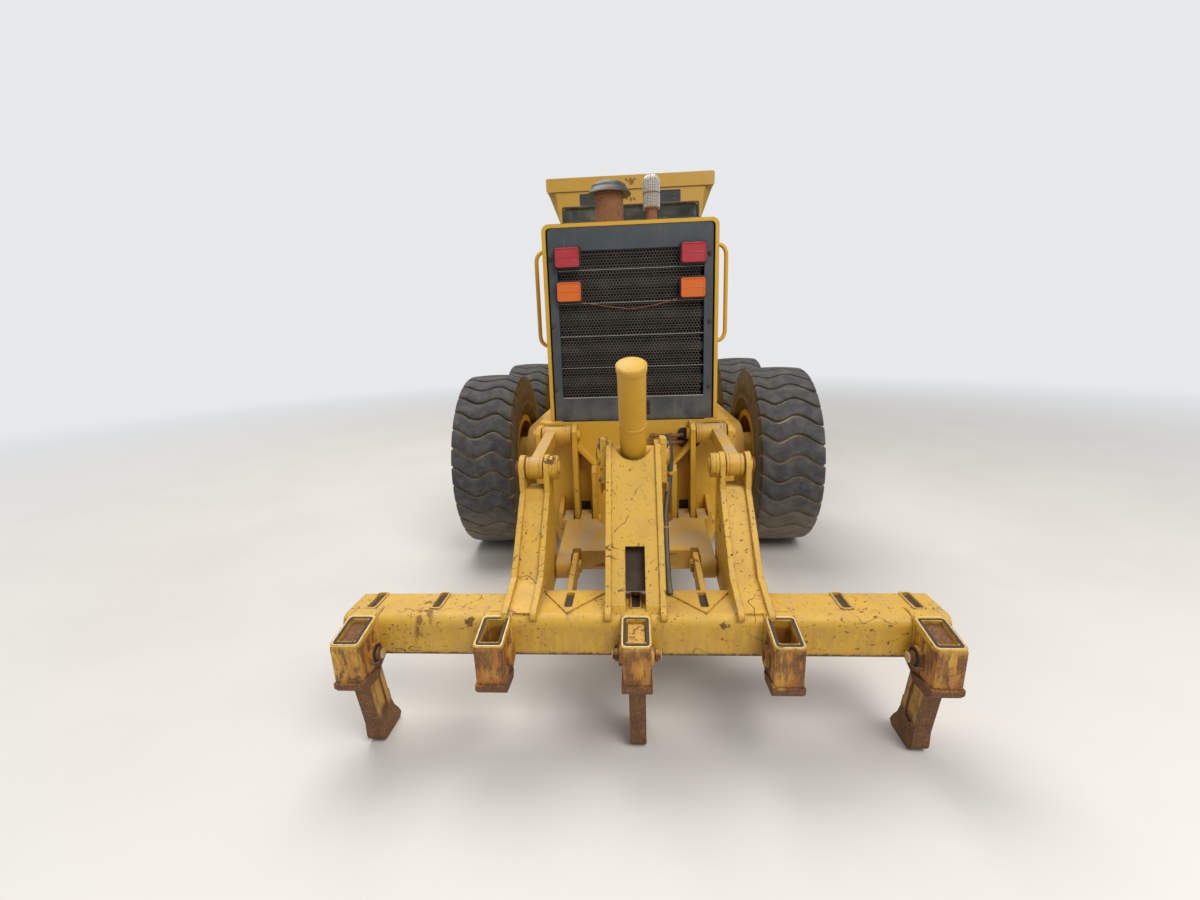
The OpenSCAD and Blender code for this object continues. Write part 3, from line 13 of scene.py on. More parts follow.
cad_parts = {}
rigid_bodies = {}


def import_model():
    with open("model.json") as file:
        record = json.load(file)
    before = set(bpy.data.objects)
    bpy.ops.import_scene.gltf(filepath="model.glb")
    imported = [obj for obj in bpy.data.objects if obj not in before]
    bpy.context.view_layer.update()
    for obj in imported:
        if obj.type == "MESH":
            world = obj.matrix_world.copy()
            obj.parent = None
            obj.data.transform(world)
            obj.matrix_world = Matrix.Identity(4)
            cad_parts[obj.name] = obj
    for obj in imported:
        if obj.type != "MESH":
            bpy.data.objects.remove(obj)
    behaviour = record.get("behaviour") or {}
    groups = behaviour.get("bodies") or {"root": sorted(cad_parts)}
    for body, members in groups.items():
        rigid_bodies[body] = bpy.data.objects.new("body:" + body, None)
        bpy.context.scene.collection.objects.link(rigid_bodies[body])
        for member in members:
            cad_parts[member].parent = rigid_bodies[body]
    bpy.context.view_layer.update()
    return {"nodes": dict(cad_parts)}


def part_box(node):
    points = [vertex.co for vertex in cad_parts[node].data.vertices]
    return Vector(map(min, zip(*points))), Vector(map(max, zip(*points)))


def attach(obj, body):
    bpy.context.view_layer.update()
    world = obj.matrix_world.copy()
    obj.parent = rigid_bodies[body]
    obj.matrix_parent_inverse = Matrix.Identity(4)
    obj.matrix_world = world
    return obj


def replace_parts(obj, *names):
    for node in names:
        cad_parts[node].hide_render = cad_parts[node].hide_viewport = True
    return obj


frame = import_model()
LOG = logging.getLogger("grader")
Colour = tuple[float, float, float]
Point = tuple[float, float, float]
Profile = tuple[tuple[float, float], ...]
X, Y, Z = range(3)
BACK: Point = (0.0, -1.0, 0.0)
# Euler angles that turn a bolt head's axis from Z to X
SIDEWAYS: Point = (0.0, math.pi / 2, 0.0)


def rear_axle_y() -> float:
    """Returns the place of the rear tandem axle along the row's Y, in metres."""
    low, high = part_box("tyre_rear_right")
    return (low.y + high.y) / 2


AXLE_Y = rear_axle_y()


def at(x: float, y: float, z: float) -> Vector:
    """Turns a place counted from the rear axle into the row frame.

    Args:
        x: Distance to the operator's right, in metres.
        y: Distance forward of the rear axle, in metres.
        z: Height over the ground, in metres.

    Returns:
        The same place in the row frame.
    """
    return Vector((x, y + AXLE_Y, z))


class Side(Enum):
    """A side of the machine, as the sign of its X."""

    LEFT = -1
    RIGHT = 1

    @property
    def word(self) -> str:
        """Returns the side's name as the nodes use it."""
        return self.name.lower()


WHEELS = [(place, side) for side in Side for place in ("rear", "mid", "front")]


class Sock:
    """An output socket that takes part in arithmetic."""

    def __init__(self, graph: "Graph", socket: bpy.types.NodeSocket | None) -> None:
        """Keeps the graph and the socket.

        Args:
            graph: The graph that the maths nodes are added to.
            socket: The output socket, or None for a node without one.
        """
        self.graph = graph
        self.socket = socket

    def _math(self, operation: str, first: object, second: object) -> "Sock":
        """Returns the result of one Math node."""
        return self.graph.node("ShaderNodeMath", {"operation": operation}, {0: first, 1: second})

    def __add__(self, other: object) -> "Sock":
        """Returns the sum."""
        return self._math("ADD", self, other)

    def __radd__(self, other: object) -> "Sock":
        """Returns the sum with a number first."""
        return self._math("ADD", other, self)

    def __sub__(self, other: object) -> "Sock":
        """Returns the difference."""
        return self._math("SUBTRACT", self, other)

    def __rsub__(self, other: object) -> "Sock":
        """Returns a number minus this."""
        return self._math("SUBTRACT", other, self)

    def __mul__(self, other: object) -> "Sock":
        """Returns the product."""
        return self._math("MULTIPLY", self, other)

    def at_most(self, other: object) -> "Sock":
        """Returns the smaller of the two."""
        return self._math("MINIMUM", self, other)

    def at_least(self, other: object) -> "Sock":
        """Returns the larger of the two."""
        return self._math("MAXIMUM", self, other)

    def off(self, value: float) -> "Sock":
        """Returns how far this is from a value, either way."""
        return self._math("ABSOLUTE", self - value, 0.0)

    def step(self, low: float, high: float) -> "Sock":
        """Rises smoothly from 0 to 1 between two values.

        Args:
            low: The value where the result is still 0.
            high: The value from which the result is 1.

        Returns:
            The smooth step of this value.
        """
        return self.graph.node("ShaderNodeMapRange", {"interpolation_type": "SMOOTHSTEP"},
                               {0: self, 1: low, 2: high, 3: 0.0, 4: 1.0})


class Graph:
    """A node tree that is filled one node at a time."""

    def __init__(self, tree: bpy.types.NodeTree) -> None:
        """Empties the tree.

        Args:
            tree: The node tree of a material, a world or a modifier.
        """
        self.tree = tree
        tree.nodes.clear()

    def node(self, kind: str, settings: dict | None = None, inputs: dict | None = None,
             output: int | str = 0) -> Sock:
        """Adds a node, its settings first and then its sockets.

        Args:
            kind: The node's type.
            settings: Attributes of the node by name.
            inputs: Values or Socks by the input's name or number, or a list of Socks that all go into it.
            output: The name or number of the output that is used.

        Returns:
            That output, which holds None where the node has no outputs.
        """
        made = self.tree.nodes.new(kind)
        for name, value in (settings or {}).items():
            setattr(made, name, value)
        for key, value in (inputs or {}).items():
            for one in value if isinstance(value, list) else [value]:
                self.feed(made.inputs[key], one)
        return Sock(self, made.outputs[output] if made.outputs else None)

    def feed(self, socket: bpy.types.NodeSocket, value: object) -> None:
        """Sets an input to a value or links a socket to it.

        Args:
            socket: The input.
            value: A number, a tuple, a Sock, or None to leave it as it is.
        """
        if isinstance(value, Sock):
            self.tree.links.new(value.socket, socket)
        elif value is not None:
            colour = isinstance(value, tuple) and len(value) == 3 and socket.type == "RGBA"
            socket.default_value = (*value, 1.0) if colour else value

    def mix(self, share: object, first: object, second: object) -> Sock:
        """Mixes two colours.

        Args:
            share: How much of the second colour there is.
            first: The first colour.
            second: The second colour.

        Returns:
            The mixed colour.
        """
        return self.node("ShaderNodeMix", {"data_type": "RGBA"}, {0: share, 6: first, 7: second}, 2)

    def place(self, stretch: Point = (1.0, 1.0, 1.0)) -> Sock:
        """Returns the piece's own coordinates, stretched by a factor along each axis."""
        source = self.node("ShaderNodeTexCoord", output="Object")
        return self.node("ShaderNodeMapping", None, {"Vector": source, "Scale": stretch})

    def noise(self, scale: float, detail: float = 4.0, stretch: Point = (1.0, 1.0, 1.0)) -> Sock:
        """Adds a noise pattern.

        Args:
            scale: Blotches to the metre.
            detail: Number of finer octaves.
            stretch: Factor along each axis.

        Returns:
            The pattern, from 0 to 1.
        """
        return self.node("ShaderNodeTexNoise", None,
                         {"Vector": self.place(stretch), "Scale": scale, "Detail": detail, "Roughness": 0.6})

    def along(self, axis: int) -> Sock:
        """Returns one coordinate of the shaded point."""
        return self.node("ShaderNodeSeparateXYZ", None, {0: self.place()}, axis)

    def height(self) -> Sock:
        """Returns the height over the ground of the shaded point."""
        return self.along(Z)

    def towards(self, axis: int) -> Sock:
        """Returns how far the surface faces along an axis, from -1 to 1."""
        normal = self.node("ShaderNodeNewGeometry", output="Normal")
        return self.node("ShaderNodeSeparateXYZ", None, {0: normal}, axis)

    def upward(self) -> Sock:
        """Returns how far the surface faces up, from -1 to 1."""
        return self.towards(Z)

    def edges(self, radius: float) -> Sock:
        """Finds the edges by their rounded normal.

        Args:
            radius: How far from an edge the mask reaches, in metres.

        Returns:
            A mask that is 1 at edges.
        """
        soft = self.node("ShaderNodeBevel", {"samples": 4}, {"Radius": radius})
        hard = self.node("ShaderNodeNewGeometry", output="Normal")
        dot = self.node("ShaderNodeVectorMath", {"operation": "DOT_PRODUCT"}, {0: soft, 1: hard}, "Value")
        return (1.0 - dot).step(0.01, 0.2)


@dataclass(frozen=True)
class Finish:
    """What every finish shares: its name, the record's slot and its main colour."""

    name: str
    slot: str
    base: Colour

    def lighter(self) -> Colour:
        """Returns the main colour, somewhat lighter."""
        return tuple(min(1.0, c * 1.5 + 0.01) for c in self.base)

    def material(self) -> bpy.types.Material:
        """Returns the finish's material, made at its first use."""
        made = bpy.data.materials.get(self.name)
        if made is None:
            made = bpy.data.materials.new(self.name)
            made.use_nodes = True
            graph = Graph(made.node_tree)
            graph.node("ShaderNodeOutputMaterial", None, {"Surface": self.surface(graph)})
        return made

    def surface(self, graph: Graph) -> Sock:
        """Builds the shader.

        Args:
            graph: The material's graph.

        Returns:
            The surface shader's socket.
        """
        raise NotImplementedError

    def shader(self, graph: Graph, colour: object, roughness: object, bump: Sock | None,
               depth: float = 0.002, round_edge: float = 0.0, **fixed: float) -> Sock:
        """Builds a Principled shader with a bump.

        Args:
            graph: The material's graph.
            colour: The base colour.
            roughness: The roughness.
            bump: The height pattern, or None.
            depth: The bump's distance in metres.
            round_edge: Radius by which edges are shaded round, in metres.
            fixed: Other inputs of the shader, by name with spaces as underscores.

        Returns:
            The shader's socket.
        """
        normal = None
        if round_edge:
            normal = graph.node("ShaderNodeBevel", {"samples": 4}, {"Radius": round_edge})
        if bump is not None:
            normal = graph.node("ShaderNodeBump", None,
                                {"Strength": 0.6, "Distance": depth, "Height": bump, "Normal": normal})
        inputs = {"Base Color": colour, "Roughness": roughness, "Normal": normal}
        inputs.update({name.replace("_", " "): value for name, value in fixed.items()})
        return graph.node("ShaderNodeBsdfPrincipled", None, inputs)


@dataclass(frozen=True)
class WornPaint(Finish):
    """Machine paint, faded by the sun, dusty on top, chipped to rust at its edges and with painted shade on
    faces that turn down.
    """

    faded: Colour = (0.63, 0.385, 0.055)
    # A darker yellow for random clouds and drips, and for the painted shade on faces that do not face up
    shade: Colour = (0.40, 0.19, 0.010)
    rust: Colour = (0.085, 0.033, 0.016)
    light_rust: Colour = (0.20, 0.085, 0.035)
    dust: Colour = (0.40, 0.27, 0.13)
    chips: float = 0.5
    dusty: float = 0.5
    gloss: float = 0.44
    scratches: float = 0.3
    edge_width: float = 0.009

    def marks(self, graph: Graph) -> Sock | None:
        """Finds wear that only this finish has.

        Args:
            graph: The material's graph.

        Returns:
            A mask of the bare places, or None.
        """
        return None

    def stain(self, graph: Graph, colour: Sock) -> Sock:
        """Adds stains that only this finish has.

        Args:
            graph: The material's graph.
            colour: The paint's colour before its chips.

        Returns:
            The stained colour.
        """
        return colour

    def surface(self, graph: Graph) -> Sock:
        """Returns the paint's shader."""
        broad = graph.noise(1.3, 3.0)
        cloud = graph.noise(7.0, 5.0)
        fine = graph.noise(90.0, 3.0)
        colour = graph.mix(broad.step(0.35, 0.75) * 0.5, self.base, self.faded)
        colour = graph.mix(cloud.step(0.50, 0.80) * 0.42, colour, self.shade)
        runs = graph.noise(26.0, 3.0, (1.0, 1.0, 0.06)).step(0.56, 0.74)
        # Painted shade: faces that turn down, and a little those that stand upright, are mixed towards the
        # darker yellow
        under = 1.0 - graph.upward().step(-0.9, 0.3)
        colour = graph.mix((runs * 0.32 + under * 0.35).at_most(0.7), colour, self.shade)
        dirt = graph.upward().step(0.25, 0.95) * graph.noise(11.0, 6.0).step(0.30, 0.70)
        low = (1.0 - graph.height().step(0.05, 0.75)) * graph.noise(16.0, 5.0).step(0.35, 0.68)
        dusted = dirt * (0.5 * self.dusty) + low * (0.7 * self.dusty)
        colour = graph.mix(dusted.at_most(0.8), colour, self.dust)
        colour = self.stain(graph, colour)
        edge = graph.edges(self.edge_width) * graph.noise(34.0, 5.0).step(0.60 - 0.14 * self.chips, 0.68)
        specks = graph.noise(70.0, 4.0).step(0.725 - 0.03 * self.chips, 0.745 - 0.03 * self.chips)
        patches = graph.noise(9.0, 8.0).step(0.71 - 0.035 * self.chips, 0.735 - 0.035 * self.chips)
        line = 1.0 - graph.noise(2.3, 3.0, (1.0, 1.0, 1.6)).off(0.5).step(0.0015, 0.0045)
        torn = line * graph.noise(3.7, 3.0).step(0.62 - 0.14 * self.scratches, 0.68 - 0.12 * self.scratches)
        worn = (edge + specks + patches + torn).at_most(1.0)
        marks = self.marks(graph)
        if marks is not None:
            worn = (worn + marks).at_most(1.0)
        brown = graph.mix(graph.noise(120.0, 2.0).step(0.4, 0.7), self.rust, self.light_rust)
        colour = graph.mix(worn * 0.93, colour, brown)
        rough = (self.gloss + fine * 0.12 + worn * 0.30 + dirt * 0.2).at_most(0.95)
        relief = fine * 0.12 + cloud * 0.25 - worn * 0.6
        return self.shader(graph, colour, rough, relief, 0.0015, 0.004)


@dataclass(frozen=True)
class RipperPaint(WornPaint):
    """The ripper's paint: specked beam, orange and streaked pockets with a bare brown lip."""

    # Where the pockets begin behind the beam, the height of their lip, and the x of the two empty ones
    behind: float = -4.842
    lip: float = 0.362
    empty: float = 0.534
    opening: float = 0.050
    smear: float = -0.83
    orange: Colour = (0.36, 0.125, 0.012)

    def backs(self, graph: Graph) -> Sock:
        """Returns a mask of what lies behind the beam."""
        return 1.0 - graph.along(Y).step(self.behind - 0.02, self.behind + 0.02)

    def stain(self, graph: Graph, colour: Sock) -> Sock:
        """Adds orange rust to the pockets' rear faces and to the inside of the two empty ones.

        Args:
            graph: The material's graph.
            colour: The paint's colour before its chips.

        Returns:
            The stained colour.
        """
        height = graph.height()
        share = graph.noise(18.0, 5.0, (1.0, 1.0, 0.35)).step(0.34, 0.56) * 0.80
        colour = graph.mix(self.backs(graph) * (1.0 - height.step(0.505, 0.525)) * share, colour, self.orange)
        across = graph.along(X).off(0.0).off(self.empty).step(self.opening - 0.002, self.opening + 0.002)
        front = graph.along(Y).step(self.behind + 0.042, self.behind + 0.062)
        inside = (1.0 - across) * (1.0 - front) * (1.0 - height.step(0.515, 0.530))
        return graph.mix(inside * (share * 0.5 + 0.4), colour, self.orange)

    def marks(self, graph: Graph) -> Sock:
        """Returns the pockets' rust streaks, their lips, the beam's smears and its dark foot."""
        back, height = self.backs(graph), graph.height()
        streak = graph.noise(44.0, 6.0, (1.0, 1.0, 0.22)).step(0.44, 0.54)
        streak = streak * graph.noise(9.0, 5.0).step(0.30, 0.50)
        pockets = back * (1.0 - height.step(0.50, 0.53)) * streak * 0.85
        ragged = height + graph.noise(30.0, 4.0) * 0.030
        foot = back * (1.0 - ragged.step(self.lip + 0.012, self.lip + 0.030))
        beam = 1.0 - (height + graph.noise(45.0, 4.0) * 0.040).step(0.416, 0.426)
        smear = graph.along(X).off(self.smear).step(0.02, 0.05)
        smears = (1.0 - smear) * graph.noise(24.0, 6.0, (1.0, 1.0, 0.5)).step(0.50, 0.60)
        smears = smears * height.step(0.40, 0.44)
        specks = graph.noise(64.0, 5.0).step(0.615, 0.635) * graph.noise(3.1, 3.0).step(0.30, 0.62)
        return (pockets + foot + beam * (1.0 - back) + smears * 0.8 + specks).at_most(1.0)


@dataclass(frozen=True)
class RoofPaint(WornPaint):
    """The roof's paint with rust runs under its two groups of bolts."""

    def marks(self, graph: Graph) -> Sock:
        """Returns the rust round and under the bolts."""
        across = 1.0 - graph.along(X).off(0.010).step(0.02, 0.055)
        height = graph.height()
        upper = height.step(3.225, 3.30) * (1.0 - height.step(3.315, 3.335))
        lower = height.step(3.075, 3.11) * (1.0 - height.step(3.115, 3.13))
        rear = 1.0 - graph.along(Y).step(-0.09, -0.06)
        runs = graph.noise(38.0, 5.0, (1.0, 1.0, 0.4)).step(0.44, 0.58)
        return across * (upper + lower * 0.7) * rear * runs


@dataclass(frozen=True)
class ShankPaint(WornPaint):
    """A shank's paint, left only in its sunk sides and on the middle one's top."""

    def marks(self, graph: Graph) -> Sock:
        """Returns the bare foot, back and edges, and specks on the middle one's top."""
        ends = (1.0 - graph.height().step(0.11, 0.17)) + graph.height().step(0.42, 0.46)
        side = graph.towards(X).off(0.0).step(0.5, 0.8)
        blotch = graph.noise(20.0, 6.0).step(0.48, 0.62)
        bare = (ends * 0.9 + (1.0 - side) * 0.92 + blotch * 0.45 + graph.edges(0.018)).at_most(1.0)
        middle = 1.0 - graph.along(X).off(0.0).step(0.10, 0.20)
        specks = graph.noise(60.0, 5.0).step(0.52, 0.58)
        return bare * (1.0 - middle * graph.upward().step(0.5, 0.8) * (1.0 - specks * 0.8))


@dataclass(frozen=True)
class GrillePaint(Finish):
    """Slate panel paint, with painted shade that makes the slats behind the screen nearly black."""

    half: float = 0.3935
    low: float = 1.2565
    high: float = 2.0425
    # Near-black painted shade for the slats behind the screen
    slats: Colour = (0.010, 0.009, 0.008)
    dust: Colour = (0.30, 0.24, 0.17)

    def surface(self, graph: Graph) -> Sock:
        """Returns the panel's shader."""
        blotch = graph.noise(9.0, 6.0)
        grain = graph.noise(150.0, 3.0)
        colour = graph.mix(blotch.step(0.4, 0.8) * 0.6, self.base, self.lighter())
        runs = graph.noise(30.0, 4.0, (1.0, 1.0, 0.1)).step(0.55, 0.75) * 0.18
        low = 1.0 - graph.height().step(1.13, 1.32)
        colour = graph.mix(runs + low * 0.25 * blotch.step(0.3, 0.6), colour, self.dust)
        height = graph.height()
        rows = height.step(self.low, self.low + 0.001) * (1.0 - height.step(self.high - 0.001, self.high))
        inside = (1.0 - graph.along(X).off(0.0).step(self.half - 0.001, self.half)) * rows
        # Painted shade: the slats behind the screen are mixed to near black
        colour = graph.mix(inside, colour, self.slats)
        return self.shader(graph, colour, 0.42 + grain * 0.2 + inside * 0.3, grain * 0.3, 0.001, 0.003)


@dataclass(frozen=True)
class Rubber(Finish):
    """Tyre rubber, worn grey, with dust in its grooves and on its walls."""

    dust: Colour = (0.46, 0.36, 0.23)
    scuffed: Colour = (0.088, 0.084, 0.078)

    def surface(self, graph: Graph) -> Sock:
        """Returns the rubber's shader."""
        depth = graph.node("ShaderNodeAttribute", {"attribute_name": "groove"}, output="Fac")
        blotch = graph.noise(14.0, 6.0)
        scuff = graph.noise(60.0, 4.0)
        colour = graph.mix(blotch.step(0.35, 0.75), self.base, self.scuffed)
        low = 1.0 - graph.height().step(0.05, 0.55)
        ledge = graph.upward().step(-0.15, 0.55)
        dusty = depth * (0.30 + ledge * 0.75) + low * 0.40 + scuff.step(0.55, 0.75) * 0.18
        colour = graph.mix((dusty * blotch.step(0.15, 0.50)).at_most(0.9), colour, self.dust)
        rough = 0.72 + scuff * 0.2
        return self.shader(graph, colour, rough, scuff * 0.5 + graph.noise(220.0, 2.0) * 0.3, 0.002)


@dataclass(frozen=True)
class Metal(Finish):
    """Bare metal with patches of rust, from bright to fully brown."""

    rust: Colour = (0.16, 0.062, 0.026)
    light_rust: Colour = (0.30, 0.13, 0.055)
    rusted: float = 0.5
    shine: float = 0.35

    def surface(self, graph: Graph) -> Sock:
        """Returns the metal's shader."""
        patch = graph.noise(12.0, 8.0)
        grain = graph.noise(120.0, 3.0)
        share = patch.step(0.72 - 0.5 * self.rusted, 0.82 - 0.4 * self.rusted)
        brown = graph.mix(grain.step(0.35, 0.7), self.rust, self.light_rust)
        colour = graph.mix(share, self.base, brown)
        metallic = (1.0 - share) * 0.9
        rough = (self.shine + share * 0.5 + grain * 0.1).at_most(0.95)
        return self.shader(graph, colour, rough, grain * 0.4 + share * 0.3, 0.0015, 0.003, Metallic=metallic)


@dataclass(frozen=True)
class Plain(Finish):
    """Painted or moulded dark trim with a little dust and scuffing, also used for painted shade and for dust
    with painted highlight.
    """

    rough: float = 0.5
    dust: Colour = (0.30, 0.23, 0.15)
    dusty: float = 0.3

    def surface(self, graph: Graph) -> Sock:
        """Returns the trim's shader."""
        blotch = graph.noise(9.0, 6.0)
        grain = graph.noise(150.0, 3.0)
        colour = graph.mix(blotch.step(0.4, 0.8) * 0.6, self.base, self.lighter())
        top = graph.upward().step(0.2, 0.9)
        colour = graph.mix((blotch.step(0.35, 0.7) * 0.25 + top * 0.5) * self.dusty, colour, self.dust)
        return self.shader(graph, colour, self.rough + grain * 0.2, grain * 0.3, 0.001, 0.003)


@dataclass(frozen=True)
class Lens(Finish):
    """A lamp's moulded lens with fine ribs, of another colour below a height."""

    lower: Colour | None = None
    split: float = 1.92
    dust: Colour = (0.24, 0.14, 0.08)

    def surface(self, graph: Graph) -> Sock:
        """Returns the lens's shader."""
        ribs = graph.node("ShaderNodeTexWave", {"wave_type": "BANDS", "bands_direction": "X"},
                          {"Vector": graph.place(), "Scale": 45.0, "Distortion": 0.0}, 1)
        cloud = graph.noise(14.0, 5.0)
        colour = self.base
        if self.lower is not None:
            colour = graph.mix(graph.height().step(self.split, self.split + 0.001), self.lower, self.base)
        colour = graph.mix(cloud.step(0.4, 0.8) * 0.22, colour, self.dust)
        return self.shader(graph, colour, 0.28 + cloud * 0.2, ribs * 0.5, 0.001, Coat_Weight=0.4)


@dataclass(frozen=True)
class Pane(Finish):
    """Tinted cab glass with patches of dust."""

    dust: Colour = (0.30, 0.30, 0.25)

    def surface(self, graph: Graph) -> Sock:
        """Returns the pane's shader."""
        dust = graph.noise(5.0, 6.0).step(0.35, 0.8)
        colour = graph.mix(dust * 0.5, self.base, self.dust)
        return self.shader(graph, colour, 0.08 + dust * 0.3, None, Alpha=0.42 + dust * 0.3)


YELLOW = WornPaint("machine_yellow", "paint", (0.60, 0.335, 0.018), chips=0.6, dusty=0.5)
# The roof is the machine yellow darkened as painted shade
ROOF = RoofPaint("roof_yellow", "paint", (0.44, 0.250, 0.018), faded=(0.46, 0.30, 0.05),
                 chips=0.6, dusty=0.4)
RIPPER_YELLOW = RipperPaint("ripper_yellow", "paint", (0.60, 0.350, 0.028), chips=1.5, dusty=0.7,
                            scratches=1.0)
LINK_YELLOW = WornPaint("link_yellow", "paint", (0.55, 0.30, 0.025), dust=(0.42, 0.31, 0.19), chips=1.1,
                        dusty=1.6, scratches=0.5)
TYRE = Rubber("tyre_rubber", "tyre", (0.036, 0.037, 0.040))
PANEL = GrillePaint("panel_slate", "panel_black", (0.040, 0.050, 0.058))
VENT = Plain("vent_slate", "panel_black", (0.035, 0.042, 0.050), rough=0.5, dusty=0.25)
SCREEN = Plain("screen_black", "panel_black", (0.120, 0.108, 0.092), rough=0.5, dusty=0.6)
SEAM = Plain("seam_dusty", "panel_black", (0.30, 0.28, 0.25), rough=0.6, dusty=0.6)
# Near-black painted shade: the radiator behind the grille, the grille's bands and the small vent's square
SHADE = Plain("cooler_dark", "panel_black", (0.008, 0.007, 0.006), rough=0.8, dusty=0.2)
LAMPS = Lens("lens_pair", "lamp", (0.40, 0.018, 0.030), lower=(0.66, 0.125, 0.001))
RED = Lens("lens_red", "lamp", (0.42, 0.018, 0.030))
AMBER = Lens("lens_amber", "lamp", (0.66, 0.125, 0.001))
GLASS = Pane("cab_pane", "glass", (0.035, 0.050, 0.040))
TRIM = Plain("trim_black", "trim_plastic", (0.018, 0.018, 0.019), rough=0.6, dusty=0.45)
ENGINE = Plain("engine_grey", "engine_grey", (0.12, 0.12, 0.12), rough=0.6, dusty=0.5)
STACK = Metal("stack_rust", "rusty_steel", (0.20, 0.13, 0.085), rust=(0.17, 0.085, 0.045), rusted=0.9,
              shine=0.6)
CAP = Metal("cap_grey", "rusty_steel", (0.10, 0.10, 0.10), rusted=0.25, shine=0.5)
GUARD = Metal("guard_silver", "bare_steel", (0.62, 0.61, 0.58), rusted=0.05, shine=0.5)
ROD = Metal("rod_chrome", "bare_steel", (0.62, 0.61, 0.60), rusted=0.02, shine=0.16)
SHANK = ShankPaint("shank_paint", "ground_steel", (0.52, 0.27, 0.025), chips=1.2, dusty=0.4)
EDGE = Metal("edge_steel", "ground_steel", (0.26, 0.235, 0.21), rust=(0.11, 0.052, 0.028), rusted=0.62,
             shine=0.45)
BLADE = WornPaint("blade_yellow", "paint", (0.60, 0.335, 0.022), chips=1.5, dusty=0.9, scratches=1.0)
BOLT = Metal("bolt_steel", "bare_steel", (0.20, 0.17, 0.15), rusted=0.7, shine=0.5)
RUSTY = Metal("bolt_rusty", "rusty_steel", (0.12, 0.07, 0.05), rusted=1.0, shine=0.6)
# Pale worn metal with painted highlight, for the pocket and slot rims and the pin heads
WORN_AND_HIGHLIGHT = Metal("worn_rim", "bare_steel", (0.72, 0.56, 0.30), rusted=0.25, shine=0.5)
# Near-black rust for washers, and painted shade in openings, behind the ripper's window and in hollows
DARK_RUST_AND_SHADE = Plain("dark_rust", "rusty_steel", (0.030, 0.016, 0.011), rough=0.75, dusty=0.15)
HOSE = Plain("hose_black", "trim_plastic", (0.020, 0.026, 0.022), rough=0.45, dusty=0.5)

NODE_FINISHES: dict[str, Finish] = {
    "grille": PANEL, "radiator": SHADE, "engine": ENGINE, "exhaust": STACK, "air_intake": STACK,
    "ripper_frame": RIPPER_YELLOW, "ripper_lower_link": LINK_YELLOW, "ripper_upper_links": LINK_YELLOW,
    "ripper_barrel": YELLOW, "tail_lamps": LAMPS, "ripper_shanks": SHANK, "ripper_rod": ROD, "tip_rod": ROD,
    "lift_rod_left": ROD, "lift_rod_right": ROD, "cab_glass": GLASS, "seat": TRIM, "console": TRIM,
    "cutting_edge": EDGE, "moldboard": BLADE, "cab_roof": ROOF,
}


def dress(node: str, finish: Finish) -> None:
    """Gives a CAD node its finish.

    Args:
        node: The node's name.
        finish: The finish that it gets.
    """
    mesh = frame["nodes"][node].data
    mesh.materials.clear()
    mesh.materials.append(finish.material())


def dress_nodes() -> None:
    """Gives every CAD node its finish."""
    for node in frame["nodes"]:
        dress(node, NODE_FINISHES.get(node, YELLOW))


def linked(name: str, data: bpy.types.ID) -> bpy.types.Object:
    """Returns a new object of the scene."""
    made = bpy.data.objects.new(name, data)
    bpy.context.scene.collection.objects.link(made)
    return made


def add_mesh(name: str, mesh: bpy.types.Mesh, finish: Finish | None, body: str) -> bpy.types.Object:
    """Adds a finished mesh to the scene, riding on a body.

    Args:
        name: The piece's name.
        mesh: Its mesh, in the row frame.
        finish: Its finish, or None where the mesh has its materials.
        body: The body that it moves with.

    Returns:
        The new object.
    """
    made = linked(name, mesh)
    if finish is not None:
        mesh.materials.clear()
        mesh.materials.append(finish.material())
    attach(made, body)
    LOG.info("%s: %d faces on %s", name, len(mesh.polygons), body)
    return made


def from_bmesh(name: str, shape: bmesh.types.BMesh, finish: Finish, body: str,
               smooth: bool = False) -> bpy.types.Object:
    """Turns a bmesh into a piece, its normals pointing outwards.

    Args:
        name: The piece's name.
        shape: The bmesh, which is freed.
        finish: The piece's finish.
        body: The body that it moves with.
        smooth: Whether its faces are shaded smooth.

    Returns:
        The new object.
    """
    bmesh.ops.remove_doubles(shape, verts=shape.verts, dist=1e-5)
    bmesh.ops.recalc_face_normals(shape, faces=shape.faces)
    mesh = bpy.data.meshes.new(name)
    for face in shape.faces:
        face.smooth = smooth
    shape.to_mesh(mesh)
    shape.free()
    if smooth:
        mesh.set_sharp_from_angle(angle=math.radians(35))
    return add_mesh(name, mesh, finish, body)


